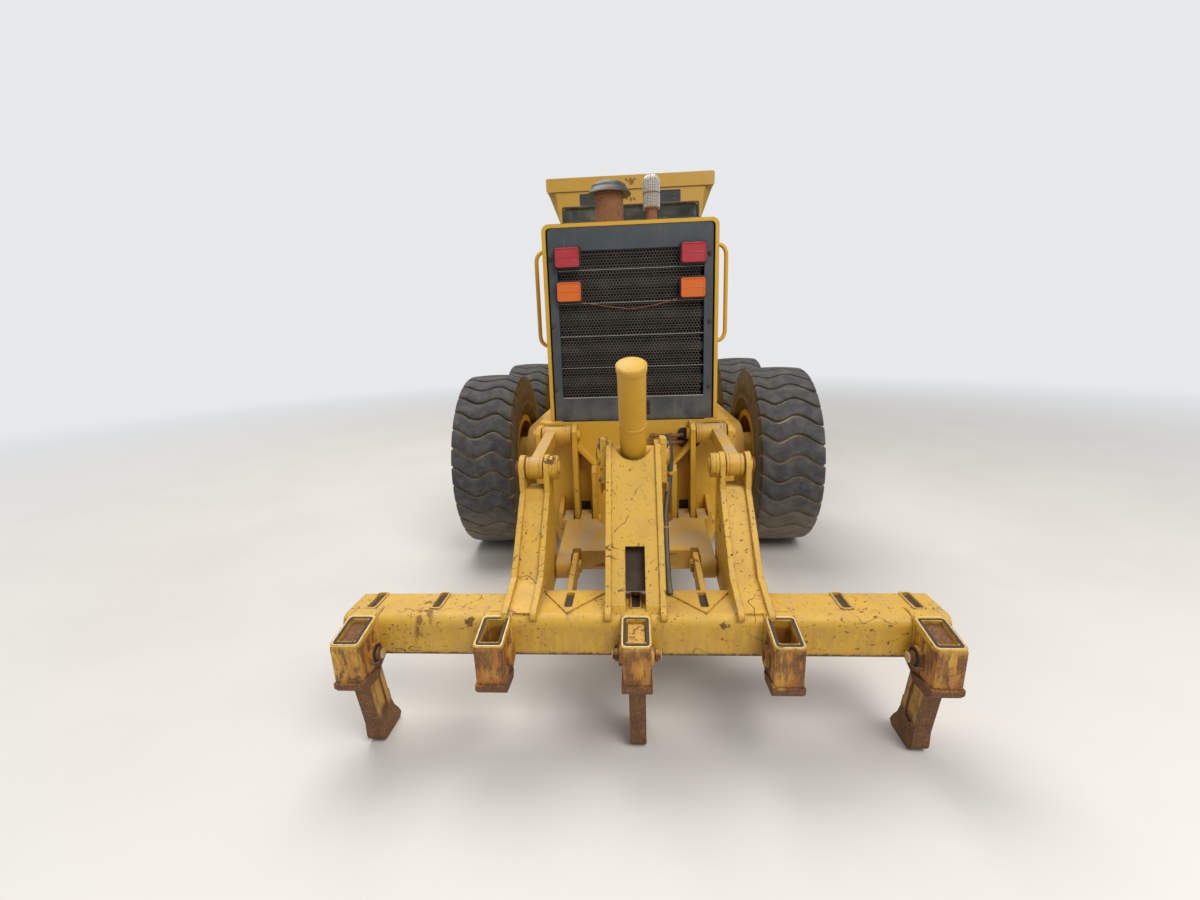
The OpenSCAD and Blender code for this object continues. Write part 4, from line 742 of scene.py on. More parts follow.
class NodeTool:
    """A Geometry Nodes tree that is run once on an object and turned into a mesh."""

    def __init__(self, name: str, sizes: dict[str, tuple[str, object]]) -> None:
        """Makes an empty tree with named inputs.

        Args:
            name: The tree's name.
            sizes: Socket type and default value of each input, by name.
        """
        self.tree = bpy.data.node_groups.new(name, "GeometryNodeTree")
        self.graph = Graph(self.tree)
        face = self.tree.interface
        face.new_socket("Geometry", in_out="INPUT", socket_type="NodeSocketGeometry")
        face.new_socket("Geometry", in_out="OUTPUT", socket_type="NodeSocketGeometry")
        self.ids = {}
        for label, (kind, value) in sizes.items():
            socket = face.new_socket(label, in_out="INPUT", socket_type=kind)
            socket.default_value = value
            self.ids[label] = socket.identifier

    def size(self, label: str) -> Sock:
        """Returns the input of that name inside the tree."""
        return self.graph.node("NodeGroupInput", output=label)

    def close(self, geometry: Sock, finish: Finish, smooth: bool = True) -> None:
        """Ends the tree: real instances, shading and material.

        Args:
            geometry: The geometry so far.
            finish: The finish that it gets.
            smooth: Whether it is shaded smooth.
        """
        real = self.graph.node("GeometryNodeRealizeInstances", None, {0: geometry})
        shaded = self.graph.node("GeometryNodeSetShadeSmooth", None,
                                 {"Geometry": real, "Shade Smooth": smooth})
        coated = self.graph.node("GeometryNodeSetMaterial", None,
                                 {"Geometry": shaded, "Material": finish.material()})
        self.graph.node("NodeGroupOutput", None, {0: coated})

    def run(self, name: str, carrier: bpy.types.ID, values: dict[str, object], finish: Finish,
            body: str) -> bpy.types.Object:
        """Runs the tree on a mesh or curve and keeps the result as a plain piece.

        Args:
            name: The piece's name.
            carrier: The mesh or curve that the tree starts from.
            values: Values of the inputs, by name.
            finish: The finish; not used.
            body: The body that the piece moves with.

        Returns:
            The new object.
        """
        holder = linked(name + "_tool", carrier)
        modifier = holder.modifiers.new("build", "NODES")
        modifier.node_group = self.tree
        for label, value in values.items():
            modifier[self.ids[label]] = value
        graph = bpy.context.evaluated_depsgraph_get()
        mesh = bpy.data.meshes.new_from_object(holder.evaluated_get(graph))
        bpy.data.objects.remove(holder)
        made = add_mesh(name, mesh, None, body)
        return made


def points_mesh(name: str, points: list[Vector]) -> bpy.types.Mesh:
    """Returns a mesh of loose points."""
    mesh = bpy.data.meshes.new(name)
    mesh.from_pydata([tuple(p) for p in points], [], [])
    return mesh


@dataclass
class Fasteners:
    """Hexagon heads on washers, set on a list of places by one tree."""

    finish: Finish = BOLT

    def __post_init__(self) -> None:
        """Builds the tree."""
        tool = NodeTool("bolt_heads_" + self.finish.name, {
            "Radius": ("NodeSocketFloat", 0.012), "Height": ("NodeSocketFloat", 0.010),
            "Turn": ("NodeSocketVector", (0.0, 0.0, 0.0))})
        graph = tool.graph
        radius, height = tool.size("Radius"), tool.size("Height")
        head = graph.node("GeometryNodeMeshCylinder", None,
                          {"Vertices": 6, "Radius": radius, "Depth": height})
        washer = graph.node("GeometryNodeMeshCylinder", None,
                            {"Vertices": 16, "Radius": radius * 1.35, "Depth": height * 0.35})
        both = graph.node("GeometryNodeJoinGeometry", None, {0: [washer, head]})
        turn = graph.node("FunctionNodeEulerToRotation", None, {0: tool.size("Turn")})
        copies = graph.node("GeometryNodeInstanceOnPoints", None,
                            {"Points": tool.size("Geometry"), "Instance": both, "Rotation": turn})
        tool.close(copies, self.finish, smooth=False)
        self.tool = tool

    def place(self, name: str, points: list[Vector], body: str, radius: float = 0.012, height: float = 0.010,
              turn: Point = (math.pi / 2, 0.0, 0.0)) -> bpy.types.Object:
        """Sets the heads.

        Args:
            name: The piece's name.
            points: The middle of each head.
            body: The body that they move with.
            radius: The head's radius.
            height: The head's height.
            turn: Euler angles that turn the head's axis away from Z.

        Returns:
            The new object.
        """
        values = {"Radius": radius, "Height": height, "Turn": turn}
        return self.tool.run(name, points_mesh(name, points), values, self.finish, body)


@dataclass
class Tubes:
    """Round tubes, wires and weld beads swept along paths by one tree."""

    finish: Finish
    sides: int = 10

    def __post_init__(self) -> None:
        """Builds the tree."""
        tool = NodeTool("tubes_" + self.finish.name, {
            "Radius": ("NodeSocketFloat", 0.01), "Sides": ("NodeSocketInt", self.sides)})
        graph = tool.graph
        ring = graph.node("GeometryNodeCurvePrimitiveCircle", None,
                          {"Resolution": tool.size("Sides"), "Radius": tool.size("Radius")})
        swept = graph.node("GeometryNodeCurveToMesh", None,
                           {"Curve": tool.size("Geometry"), "Profile Curve": ring, "Fill Caps": True})
        tool.close(swept, self.finish)
        self.tool = tool

    def sweep(self, name: str, paths: list[list[Vector]], body: str, radius: float,
              smooth: bool = True) -> bpy.types.Object:
        """Sweeps one tube along each path.

        Args:
            name: The piece's name.
            paths: Each path's points.
            body: The body that the tubes move with.
            radius: The tube's radius.
            smooth: Whether the path is rounded between its points.

        Returns:
            The new object.
        """
        curve = bpy.data.curves.new(name, "CURVE")
        curve.dimensions = "3D"
        curve.resolution_u = 6
        for points in paths:
            if smooth:
                line = curve.splines.new("BEZIER")
                line.bezier_points.add(len(points) - 1)
                for knot, point in zip(line.bezier_points, points):
                    knot.co = point
                    knot.handle_left_type = knot.handle_right_type = "AUTO"
            else:
                line = curve.splines.new("POLY")
                line.points.add(len(points) - 1)
                for knot, point in zip(line.points, points):
                    knot.co = (*point, 1.0)
        return self.tool.run(name, curve, {"Radius": radius, "Sides": self.sides}, self.finish, body)


@dataclass(frozen=True)
class Lamp:
    """A square lamp: its place, what it points at, its side in metres and its power in watts."""

    name: str
    place: Point
    target: Point
    size: float
    power: float


@dataclass
class Studio:
    """The camera at the photograph's place, soft lights and a pale floor."""

    camera_at: Point = (0.0097, -4.0884, 1.606)
    yaw: float = math.radians(-3.9229)
    pitch: float = math.radians(12.3693)
    roll: float = math.radians(1.9174)
    focal_px: float = 528.5
    frame_px: float = 1200.0
    sensor: float = 36.0
    clip: tuple = (0.05, 200.0)
    floor_radius: float = 60.0
    floor_colour: Colour = (0.62, 0.60, 0.57)
    floor_far: Colour = (0.95, 0.94, 0.93)
    # Distances from the middle between which the floor grows lighter, and fades into the haze
    lighter: tuple = (3.5, 11.0)
    hazy: tuple = (5.5, 14.0)
    sky: Colour = (0.80, 0.84, 0.90)
    sky_strength: float = 0.46
    haze: Colour = (0.80, 0.81, 0.82)
    lamp_colour: Colour = (1.0, 0.97, 0.92)
    lamps: tuple = (Lamp("key", (3.5, -6.5, 7.5), (0.0, -1.0, 0.8), 4.5, 560.0),
                    Lamp("top", (-2.0, 2.5, 9.5), (0.0, 2.5, 1.0), 7.0, 900.0))

    def camera(self) -> None:
        """Sets the camera up from the angles that the photograph was fitted with."""
        forward = Vector((math.sin(self.yaw) * math.cos(self.pitch),
                          math.cos(self.yaw) * math.cos(self.pitch), -math.sin(self.pitch)))
        level = Vector((math.cos(self.yaw), -math.sin(self.yaw), 0.0))
        down = forward.cross(level)
        right = level * math.cos(self.roll) + down * math.sin(self.roll)
        below = down * math.cos(self.roll) - level * math.sin(self.roll)
        data = bpy.data.cameras.new("camera")
        data.sensor_width = self.sensor
        data.lens = self.focal_px / self.frame_px * self.sensor
        data.clip_start, data.clip_end = self.clip
        made = linked("camera", data)
        turn = Matrix((right, -below, -forward)).transposed().to_4x4()
        made.matrix_world = Matrix.Translation(at(*self.camera_at)) @ turn
        bpy.context.scene.camera = made

    def floor(self) -> None:
        """Lays a large pale floor under the machine."""
        shape = bmesh.new()
        bmesh.ops.create_circle(shape, cap_ends=True, segments=64, radius=self.floor_radius)
        mesh = bpy.data.meshes.new("floor")
        shape.to_mesh(mesh)
        shape.free()
        made = linked("floor", mesh)
        material = bpy.data.materials.new("floor_pale")
        material.use_nodes = True
        graph = Graph(material.node_tree)
        warm = tuple(c * 0.94 for c in self.floor_colour)
        near = graph.mix(graph.noise(0.8, 4.0).step(0.3, 0.8), self.floor_colour, warm)
        away = graph.node("ShaderNodeVectorMath", {"operation": "LENGTH"}, {0: graph.place()}, "Value")
        colour = graph.mix(away.step(*self.lighter), near, self.floor_far)
        shader = graph.node("ShaderNodeBsdfPrincipled", None, {"Base Color": colour, "Roughness": 0.9})
        far = away.step(*self.hazy) * graph.node("ShaderNodeLightPath", output="Is Camera Ray")
        glow = graph.node("ShaderNodeEmission", None, {"Color": self.haze, "Strength": 1.0})
        both = graph.node("ShaderNodeMixShader", None, {0: far, 1: shader, 2: glow})
        graph.node("ShaderNodeOutputMaterial", None, {"Surface": both})
        mesh.materials.append(material)

    def light_up(self) -> None:
        """Adds a soft sky, which the camera sees as haze, and the lamps."""
        world = bpy.data.worlds.new("sky")
        bpy.context.scene.world = world
        world.use_nodes = True
        graph = Graph(world.node_tree)
        through = graph.node("ShaderNodeLightPath", output="Is Transmission Ray")
        seen = graph.node("ShaderNodeLightPath", output="Is Camera Ray").at_least(through)
        light = graph.node("ShaderNodeBackground", None, {"Color": self.sky, "Strength": self.sky_strength})
        back = graph.node("ShaderNodeBackground", None, {"Color": self.haze, "Strength": 1.0})
        mixed = graph.node("ShaderNodeMixShader", None, {0: seen, 1: light, 2: back})
        graph.node("ShaderNodeOutputWorld", None, {"Surface": mixed})
        for lamp in self.lamps:
            data = bpy.data.lights.new(lamp.name, "AREA")
            data.size, data.energy, data.color = lamp.size, lamp.power, self.lamp_colour
            made = linked(lamp.name, data)
            made.location = at(*lamp.place)
            made.rotation_mode = "QUATERNION"
            made.rotation_quaternion = (at(*lamp.target) - at(*lamp.place)).to_track_quat("-Z", "Y")

    def build(self) -> None:
        """Makes the camera, the floor and the lights."""
        bpy.context.scene.view_settings.view_transform = "Standard"
        self.camera()
        self.floor()
        self.light_up()


@dataclass
class Tyres:
    """Six tyres with wide wavy lugs that wrap over the shoulders."""

    radius: float = 0.660
    width: float = 0.436
    tread: float = 0.404
    crown: float = 0.012
    bead: float = 0.3185
    bead_half: float = 0.178
    lugs: int = 30
    groove_deep: float = 0.030
    # Where the waves of a groove turn: share across the tread, share of the pitch
    waves: tuple = ((-1.0, 0.0), (-0.47, 0.42), (0.16, 0.06), (1.0, 0.62))
    # Samples along one pitch: share of the pitch, share of the groove's depth
    pitch_steps: tuple = ((0.0, 1.0), (0.055, 1.0), (0.085, 0.08), (0.12, 0.0), (0.36, 0.0), (0.64, 0.0),
                          (0.88, 0.0), (0.915, 0.08), (0.945, 1.0))
    tread_steps: tuple = (0.0, 0.12, 0.24, 0.36, 0.48, 0.60, 0.72, 0.84, 0.94)

    def wave(self, share: float) -> float:
        """Returns how far round a groove has moved at a share across the tread."""
        share = max(-1.0, min(1.0, share))
        for (s0, w0), (s1, w1) in zip(self.waves, self.waves[1:]):
            if share <= s1:
                turn = (1 - math.cos(math.pi * (share - s0) / (s1 - s0))) / 2
                return w0 + (w1 - w0) * turn
        return self.waves[-1][1]

    def profile(self) -> list[tuple[float, float, float, float]]:
        """Lists the section's points from one bead to the other.

        Returns:
            For each point its x, its radius, how much of the groove cuts it and its dust.
        """
        half, side, edge = self.tread / 2, self.width / 2, self.radius - self.crown
        tread = [(half * s, self.radius - self.crown * s * s, 1.0, 0.0) for s in self.tread_steps]
        wall = [(half, edge - 0.006, 1.0, 0.1), (half + 0.007, edge - 0.028, 0.8, 0.3),
                (half + 0.010, edge - 0.058, 0.5, 0.5), (half + 0.012, edge - 0.085, 0.12, 0.6),
                (side - 0.001, edge - 0.115, 0.0, 0.6), (side, edge - 0.165, 0.0, 0.5),
                (side - 0.004, edge - 0.205, 0.0, 0.5), (side - 0.001, edge - 0.212, 0.0, 0.5),
                (side - 0.012, edge - 0.245, 0.0, 0.6), (self.bead_half + 0.008, self.bead + 0.046, 0.0, 0.8),
                (self.bead_half, self.bead + 0.040, 0.0, 0.9), (self.bead_half, self.bead, 0.0, 1.0)]
        right = tread + wall
        return [(-x, r, g, d) for x, r, g, d in reversed(right)] + right[1:]

    def mesh(self, name: str, centre: Vector, hand: int) -> bpy.types.Mesh:
        """Builds one tyre round its axle along X.

        Args:
            name: The mesh's name.
            centre: The wheel's middle.
            hand: 1 or -1, the way that the waves run.

        Returns:
            The tyre's mesh with its groove attribute.
        """
        section = self.profile()
        pitch = 2 * math.pi / self.lugs
        verts, dust, faces = [], [], []
        for lug in range(self.lugs):
            for share, deep in self.pitch_steps:
                for x, r, cut, dirt in section:
                    moved = hand * self.wave(hand * x / (self.tread / 2))
                    turn = (lug + share - 0.5 + moved) * pitch
                    reach = r - self.groove_deep * deep * cut
                    verts.append((centre.x + x, centre.y + reach * math.sin(turn),
                                  centre.z - reach * math.cos(turn)))
                    dust.append(max(dirt, deep * cut))
        count, rings = len(section), self.lugs * len(self.pitch_steps)
        for i in range(rings):
            a, b = i * count, ((i + 1) % rings) * count
            faces += [(a + k, a + k + 1, b + k + 1, b + k) for k in range(count - 1)]
            faces.append((a + count - 1, a, b, b + count - 1))
        mesh = bpy.data.meshes.new(name)
        mesh.from_pydata(verts, [], faces)
        mesh.attributes.new("groove", "FLOAT", "POINT").data.foreach_set("value", dust)
        shape = bmesh.new()
        shape.from_mesh(mesh)
        bmesh.ops.recalc_face_normals(shape, faces=shape.faces)
        shape.to_mesh(mesh)
        shape.free()
        mesh.set_sharp_from_angle(angle=math.radians(38))
        return mesh

    def build(self) -> None:
        """Makes the six tyres in place of the plain ones."""
        for place, side in WHEELS:
            node = f"tyre_{place}_{side.word}"
            low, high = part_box(node)
            mesh = self.mesh(node, (low + high) / 2, side.value)
            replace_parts(add_mesh(node + "_tread", mesh, TYRE, f"wheel_{place}_{side.word}"), node)


def facing(centre: Vector, out: Point, up: Point = (0.0, 0.0, 1.0)) -> Matrix:
    """Makes the frame of a face: u along it, v up it and w out of it.

    Args:
        centre: The frame's origin.
        out: The direction out of the face.
        up: The direction up the face.

    Returns:
        The frame.
    """
    w = Vector(out).normalized()
    u = Vector(up).cross(w).normalized()
    turn = Matrix((u, w.cross(u), w)).transposed().to_4x4()
    return Matrix.Translation(centre) @ turn


def slab(shape: bmesh.types.BMesh, low: Point, high: Point, turn: Matrix = Matrix(),
         soft: float = 0.002) -> None:
    """Adds a block with rounded edges.

    Args:
        shape: The bmesh that it is added to.
        low: Its lowest corner.
        high: Its highest corner.
        turn: Where its own frame lies.
        soft: Radius of its edges.
    """
    part = bmesh.new()
    bmesh.ops.create_cube(part, size=1.0)
    size, middle = Vector(high) - Vector(low), (Vector(high) + Vector(low)) / 2
    for vert in part.verts:
        vert.co = Vector(c * s for c, s in zip(vert.co, size)) + middle
    soft = min(soft, min(size) * 0.4)
    bmesh.ops.bevel(part, geom=part.edges[:], offset=soft, segments=2, profile=0.5, affect="EDGES")
    part.transform(turn)
    mesh = bpy.data.meshes.new("part")
    part.to_mesh(mesh)
    part.free()
    shape.from_mesh(mesh)
    bpy.data.meshes.remove(mesh)


def rounded(wide: float, high: float, radius: float, steps: int = 4) -> list[tuple[float, float]]:
    """Lists the outline of a rounded rectangle.

    Args:
        wide: Half its width.
        high: Half its height.
        radius: Its corners' radius.
        steps: Number of sides of each corner.

    Returns:
        The outline's points.
    """
    points = []
    for quarter, (su, sv) in enumerate(((1, 1), (-1, 1), (-1, -1), (1, -1))):
        for i in range(steps + 1):
            turn = math.pi / 2 * (quarter + i / steps)
            points.append((su * (wide - radius) + radius * math.cos(turn),
                           sv * (high - radius) + radius * math.sin(turn)))
    return points


def rim_round(shape: bmesh.types.BMesh, turn: Matrix, wide: float, high: float, bar: float, thick: float,
              radius: float = 0.012) -> None:
    """Adds a flat frame with rounded corners, such as a gasket or a bezel.

    Args:
        shape: The bmesh that it is added to.
        turn: The face that it lies on.
        wide: Half its outer width.
        high: Half its outer height.
        bar: Width of the frame's bar.
        thick: How far it stands out of the face.
        radius: Its outer corner radius.
    """
    inner = max(radius - bar, 0.002)
    section = [(0.0, 0.0), (0.0, thick * 0.7), (bar * 0.2, thick), (bar * 0.8, thick), (bar, thick * 0.7),
               (bar, 0.0)]
    loops = []
    for inset, lift in section:
        outline = rounded(wide - inset, high - inset, radius + (inner - radius) * inset / bar)
        loops.append([shape.verts.new(turn @ Vector((u, v, lift))) for u, v in outline])
    count = len(loops[0])
    for a, b in zip(loops, loops[1:] + loops[:1]):
        for i in range(count):
            shape.faces.new((a[i], a[(i + 1) % count], b[(i + 1) % count], b[i]))


def lathe(shape: bmesh.types.BMesh, turn: Matrix, profile: Profile, sides: int = 32) -> None:
    """Adds a turned shape.

    Args:
        shape: The bmesh that it is added to.
        turn: Its frame; the shape turns round w.
        profile: Radius and height of each point.
        sides: Number of sides.
    """
    rings = []
    for radius, height in profile:
        angles = [2 * math.pi * i / sides for i in range(1 if radius < 1e-6 else sides)]
        rings.append([shape.verts.new(turn @ Vector((radius * math.cos(a), radius * math.sin(a), height)))
                      for a in angles])
    for a, b in zip(rings, rings[1:]):
        for i in range(sides):
            j = (i + 1) % sides
            corners = [a[i % len(a)], a[j % len(a)], b[j % len(b)], b[i % len(b)]]
            shape.faces.new(dict.fromkeys(corners))


def turned(name: str, turns: list[Matrix], profile: Profile, finish: Finish, body: str, sides: int = 32,
           smooth: bool = True) -> bpy.types.Object:
    """Makes a piece of turned shapes that share one profile.

    Args:
        name: The piece's name.
        turns: The frame of each shape.
        profile: Radius and height of each point.
        finish: The piece's finish.
        body: The body that it moves with.
        sides: Number of sides.
        smooth: Whether its faces are shaded smooth.

    Returns:
        The new object.
    """
    shape = bmesh.new()
    for turn in turns:
        lathe(shape, turn, profile, sides)
    return from_bmesh(name, shape, finish, body, smooth)


def bent(points: list[Vector], radius: float, steps: int = 6) -> list[Vector]:
    """Rounds a path's inner corners.

    Args:
        points: The path's corners.
        radius: How far before and after a corner the rounding starts.
        steps: Number of steps in each corner.

    Returns:
        The rounded path.
    """
    path = [points[0]]
    for before, corner, after in zip(points, points[1:], points[2:]):
        start = corner + (before - corner).normalized() * radius
        end = corner + (after - corner).normalized() * radius
        for i in range(steps + 1):
            t = i / steps
            path.append(start * (1 - t) ** 2 + corner * (2 * t * (1 - t)) + end * t ** 2)
    return path + [points[-1]]


def ring_path(centre: Vector, radius: float, first: int, second: int, sides: int = 32) -> list[Vector]:
    """Lists the points of a ring.

    Args:
        centre: Its middle.
        radius: Its radius.
        first: The axis towards its first point.
        second: The other axis of its plane.
        sides: Number of sides.

    Returns:
        The points, the first one again at the end.
    """
    ring = [centre.copy() for _ in range(sides + 1)]
    for i, point in enumerate(ring):
        point[first] += radius * math.cos(2 * math.pi * i / sides)
        point[second] += radius * math.sin(2 * math.pi * i / sides)
    return ring


@dataclass
class RearPanel:
    """The hood's rear panel: its screen, seams, lamps' bezels, screws and wire."""

    face: float = -1.108
    half: float = 0.394
    low: float = 1.258
    high: float = 2.042
    cell: float = 0.0098
    cell_wide: float = 0.0170
    cell_rise: float = 0.0147
    cell_wire: float = 0.0017
    # Heights of the seams, light strips of dust with painted highlight
    seams: tuple = (1.944, 1.771, 1.595, 1.423)
    dots: int = 46
    dot_pitch: float = 0.017
    # Heights of the bands of painted shade, and half their height
    bands: tuple = (1.874, 1.701, 1.528, 1.345)
    band_half: float = 0.022
    # The small vent's corners, its first hole, and the holes' pitch and number, each across and up
    vent: Profile = ((0.030, 1.153), (0.096, 1.231))
    hole: tuple = (0.0365, 1.159)
    hole_pitch: tuple = (0.0106, 0.011)
    holes: tuple = (6, 7)
    # The x of the panel's screws, and their heights
    screws: tuple = ((-0.43, 0.424), (2.005, 1.655, 1.304))
    lamps: Profile = ((0.334, 2.008), (0.331, 1.832))
    # A lamp's bezel and its lens's edge: half width, half height, bar and thickness
    bezel: tuple = (0.0705, 0.0565, 0.0065, 0.034)
    lens_edge: tuple = (0.0625, 0.0485, 0.006, 0.0035)
    lens_out: Point = (0.0, -0.042, 0.0)
    sag: Profile = ((-0.277, 1.781), (-0.18, 1.761), (-0.08, 1.745), (0.001, 1.736), (0.09, 1.744),
                    (0.19, 1.764), (0.269, 1.787))

    def screen(self) -> None:
        """Covers the slats with a screen of small hexagons."""
        tool = NodeTool("screen", {"Radius": ("NodeSocketFloat", self.cell)})
        graph = tool.graph
        cell = graph.node("GeometryNodeCurvePrimitiveCircle", None,
                          {"Resolution": 6, "Radius": tool.size("Radius")})
        wire = graph.node("GeometryNodeCurvePrimitiveCircle", None,
                          {"Resolution": 3, "Radius": self.cell_wire})
        ring = graph.node("GeometryNodeCurveToMesh", None, {"Curve": cell, "Profile Curve": wire})
        turn = graph.node("FunctionNodeEulerToRotation", None, {0: (math.pi / 2, math.pi / 6, 0.0)})
        cells = graph.node("GeometryNodeInstanceOnPoints", None,
                           {"Points": tool.size("Geometry"), "Instance": ring, "Rotation": turn})
        tool.close(cells, SCREEN, smooth=False)
        points = []
        for row in range(int((self.high - self.low) / self.cell_rise)):
            shift = self.cell_wide / 2 * (row % 2)
            z = self.low + 0.010 + row * self.cell_rise
            points += [at(-self.half + 0.012 + shift + i * self.cell_wide, self.face + 0.007, z)
                       for i in range(int((2 * self.half - 0.02 - shift) / self.cell_wide))]
        tool.run("grille_screen", points_mesh("cells", points), {}, SCREEN, "rear_frame")

    def bars(self) -> None:
        """Adds the dotted seams and bright lower edge of dust with painted highlight, the bands of painted
        shade, the small vent and the screws.
        """
        light, dark = bmesh.new(), bmesh.new()
        half, face, low, tall = self.half, self.face, self.low, self.band_half
        # The seams and the lower edge are light strips of dust with painted highlight
        for z in self.seams:
            slab(light, at(-half, face + 0.002, z - 0.0014), at(half, face + 0.006, z + 0.0014))
        slab(light, at(-half, face - 0.003, low - 0.006), at(half, face + 0.006, low))
        # Dark bands between the seams are painted shade
        for z in self.bands:
            slab(dark, at(-half, face + 0.009, z - tall), at(half, face + 0.013, z + tall))
        # The small vent's near-black square is painted shade
        (x0, z0), (x1, z1) = self.vent
        slab(dark, at(x0, face - 0.0015, z0), at(x1, face + 0.001, z1))
        from_bmesh("grille_seams", light, SEAM, "rear_frame")
        from_bmesh("grille_bands", dark, SHADE, "rear_frame")
        dots = [at(-half + 0.01 + i * self.dot_pitch, face - 0.002, z)
                for z in self.seams for i in range(self.dots)]
        Fasteners(SEAM).place("seam_dots", dots, "rear_frame", 0.0024, 0.002)
        # The small vent's holes are dark dots of painted shade
        (x, z), (across, up), (count, rows) = self.hole, self.hole_pitch, self.holes
        holes = [at(x + i * across, face - 0.002, z + j * up) for i in range(count) for j in range(rows)]
        Fasteners(VENT).place("small_vent_holes", holes, "rear_frame", 0.0022, 0.001)
        screws = [at(x, face - 0.003, z) for x in self.screws[0] for z in self.screws[1]]
        Fasteners(TRIM).place("panel_screws", screws, "rear_frame", 0.0085, 0.008)

    def bezels(self) -> None:
        """Frames the four lamps and gives their lenses a raised edge and a rib."""
        frames, ribs = bmesh.new(), {RED: bmesh.new(), AMBER: bmesh.new()}
        for side in Side:
            for (x, z), finish in zip(self.lamps, (RED, AMBER)):
                turn = facing(at(side.value * x, self.face, z), BACK)
                rim_round(frames, turn, *self.bezel)
                lens = facing(turn.translation + Vector(self.lens_out), BACK)
                rim_round(ribs[finish], lens, *self.lens_edge)
                slab(ribs[finish], (-0.055, -0.0015, 0.0405), (0.055, 0.0015, 0.0445), turn, 0.001)
        from_bmesh("lamp_bezels", frames, TRIM, "rear_frame")
        from_bmesh("lens_edges_red", ribs[RED], RED, "rear_frame")
        from_bmesh("lens_edges_amber", ribs[AMBER], AMBER, "rear_frame")

    def wire(self) -> None:
        """Ties a sagging wire across the screen."""
        line = Tubes(RUSTY, 8)
        line.sweep("screen_wire", [[at(x, self.face - 0.001, z) for x, z in self.sag]], "rear_frame", 0.0024)
        knot = ((-0.004, 0.008, -0.006), (-0.003, -0.005, 0.0), (0.003, -0.005, 0.002), (0.004, 0.008, 0.008))
        ties = [[at(x + u, self.face + v, z + w) for u, v, w in knot] for x, z in self.sag[::3]]
        line.sweep("wire_ties", ties, "rear_frame", 0.0018)

    def build(self) -> None:
        """Makes the panel's pieces."""
        self.screen()
        self.bars()
        self.bezels()
        self.wire()


@dataclass
class Stacks:
    """The intake's domed cap and the exhaust pipe in its wire guard."""

    intake: tuple = (-0.165, 0.5)
    pipe: tuple = (0.175, 0.5)
    intake_profile: Profile = (
        (0.0, 2.066), (0.100, 2.066), (0.100, 2.187), (0.128, 2.187), (0.128, 2.199), (0.114, 2.201),
        (0.114, 2.236), (0.118, 2.238), (0.118, 2.252), (0.114, 2.254), (0.114, 2.662), (0.118, 2.665),
        (0.118, 2.683), (0.114, 2.686), (0.114, 2.698), (0.0, 2.698))
    dome_profile: Profile = (
        (0.0, 2.700), (0.120, 2.700), (0.170, 2.688), (0.176, 2.690), (0.178, 2.696), (0.174, 2.703),
        (0.160, 2.722), (0.146, 2.738), (0.143, 2.742), (0.142, 2.750), (0.132, 2.766), (0.108, 2.782),
        (0.060, 2.793), (0.0, 2.797))
    pipe_profile: Profile = (
        (0.0, 2.036), (0.045, 2.036), (0.045, 2.187), (0.074, 2.187), (0.074, 2.198), (0.048, 2.200),
        (0.045, 2.215), (0.045, 2.350), (0.051, 2.352), (0.051, 2.372), (0.045, 2.374), (0.045, 2.790),
        (0.041, 2.790), (0.041, 2.600), (0.0, 2.600))
    guard_radius: float = 0.064
    guard_low: float = 2.578
    guard_top: float = 2.780
    guard_wire: float = 0.0027
    # How high the guard's top is domed, and the angles of its rings
    dome_high: float = 0.044
    dome_turns: tuple = (0.35, 0.70, 1.05, 1.30)
    band_radius: float = 0.0665
    band_heights: tuple = (2.580, 2.690)
    ring_step: float = 0.0112
    rings: int = 19
    wires: int = 28
    wire_profile: Profile = ((0.0655, 2.574), (0.0655, 2.68), (0.0655, 2.780), (0.060, 2.797), (0.046, 2.814),
                             (0.024, 2.824), (0.004, 2.826))

    def build(self) -> None:
        """Makes both in place of the plain stacks."""
        foot = Matrix.Translation(at(*self.intake, 0.0))
        turned("intake_dome", [foot], self.dome_profile, CAP, "rear_frame", 48)
        stack = turned("intake_stack", [foot], self.intake_profile, STACK, "rear_frame", 48)
        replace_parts(stack, "air_intake")
        foot = Matrix.Translation(at(*self.pipe, 0.0))
        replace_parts(turned("exhaust_pipe", [foot], self.pipe_profile, STACK, "rear_frame", 28), "exhaust")
        self.guard()

    def guard(self) -> None:
        """Weaves the guard's wires round the pipe's upper end."""
        x, y = self.pipe
        wide, top = self.guard_radius, self.guard_top
        rings = [(wide, self.guard_low + self.ring_step * i) for i in range(self.rings)]
        rings += [(wide * math.cos(a), top + self.dome_high * math.sin(a)) for a in self.dome_turns]
        paths = [ring_path(at(x, y, z), r, X, Y) for r, z in rings]
        for i in range(self.wires):
            turn = 2 * math.pi * i / self.wires
            along, across = math.cos(turn), math.sin(turn)
            paths.append([at(x + r * along, y + r * across, z) for r, z in self.wire_profile])
        Tubes(GUARD, 5).sweep("exhaust_guard", paths, "rear_frame", self.guard_wire, smooth=False)
        bands = [ring_path(at(x, y, z), self.band_radius, X, Y) for z in self.band_heights]
        Tubes(STACK, 8).sweep("guard_bands", bands, "rear_frame", 0.004, smooth=False)


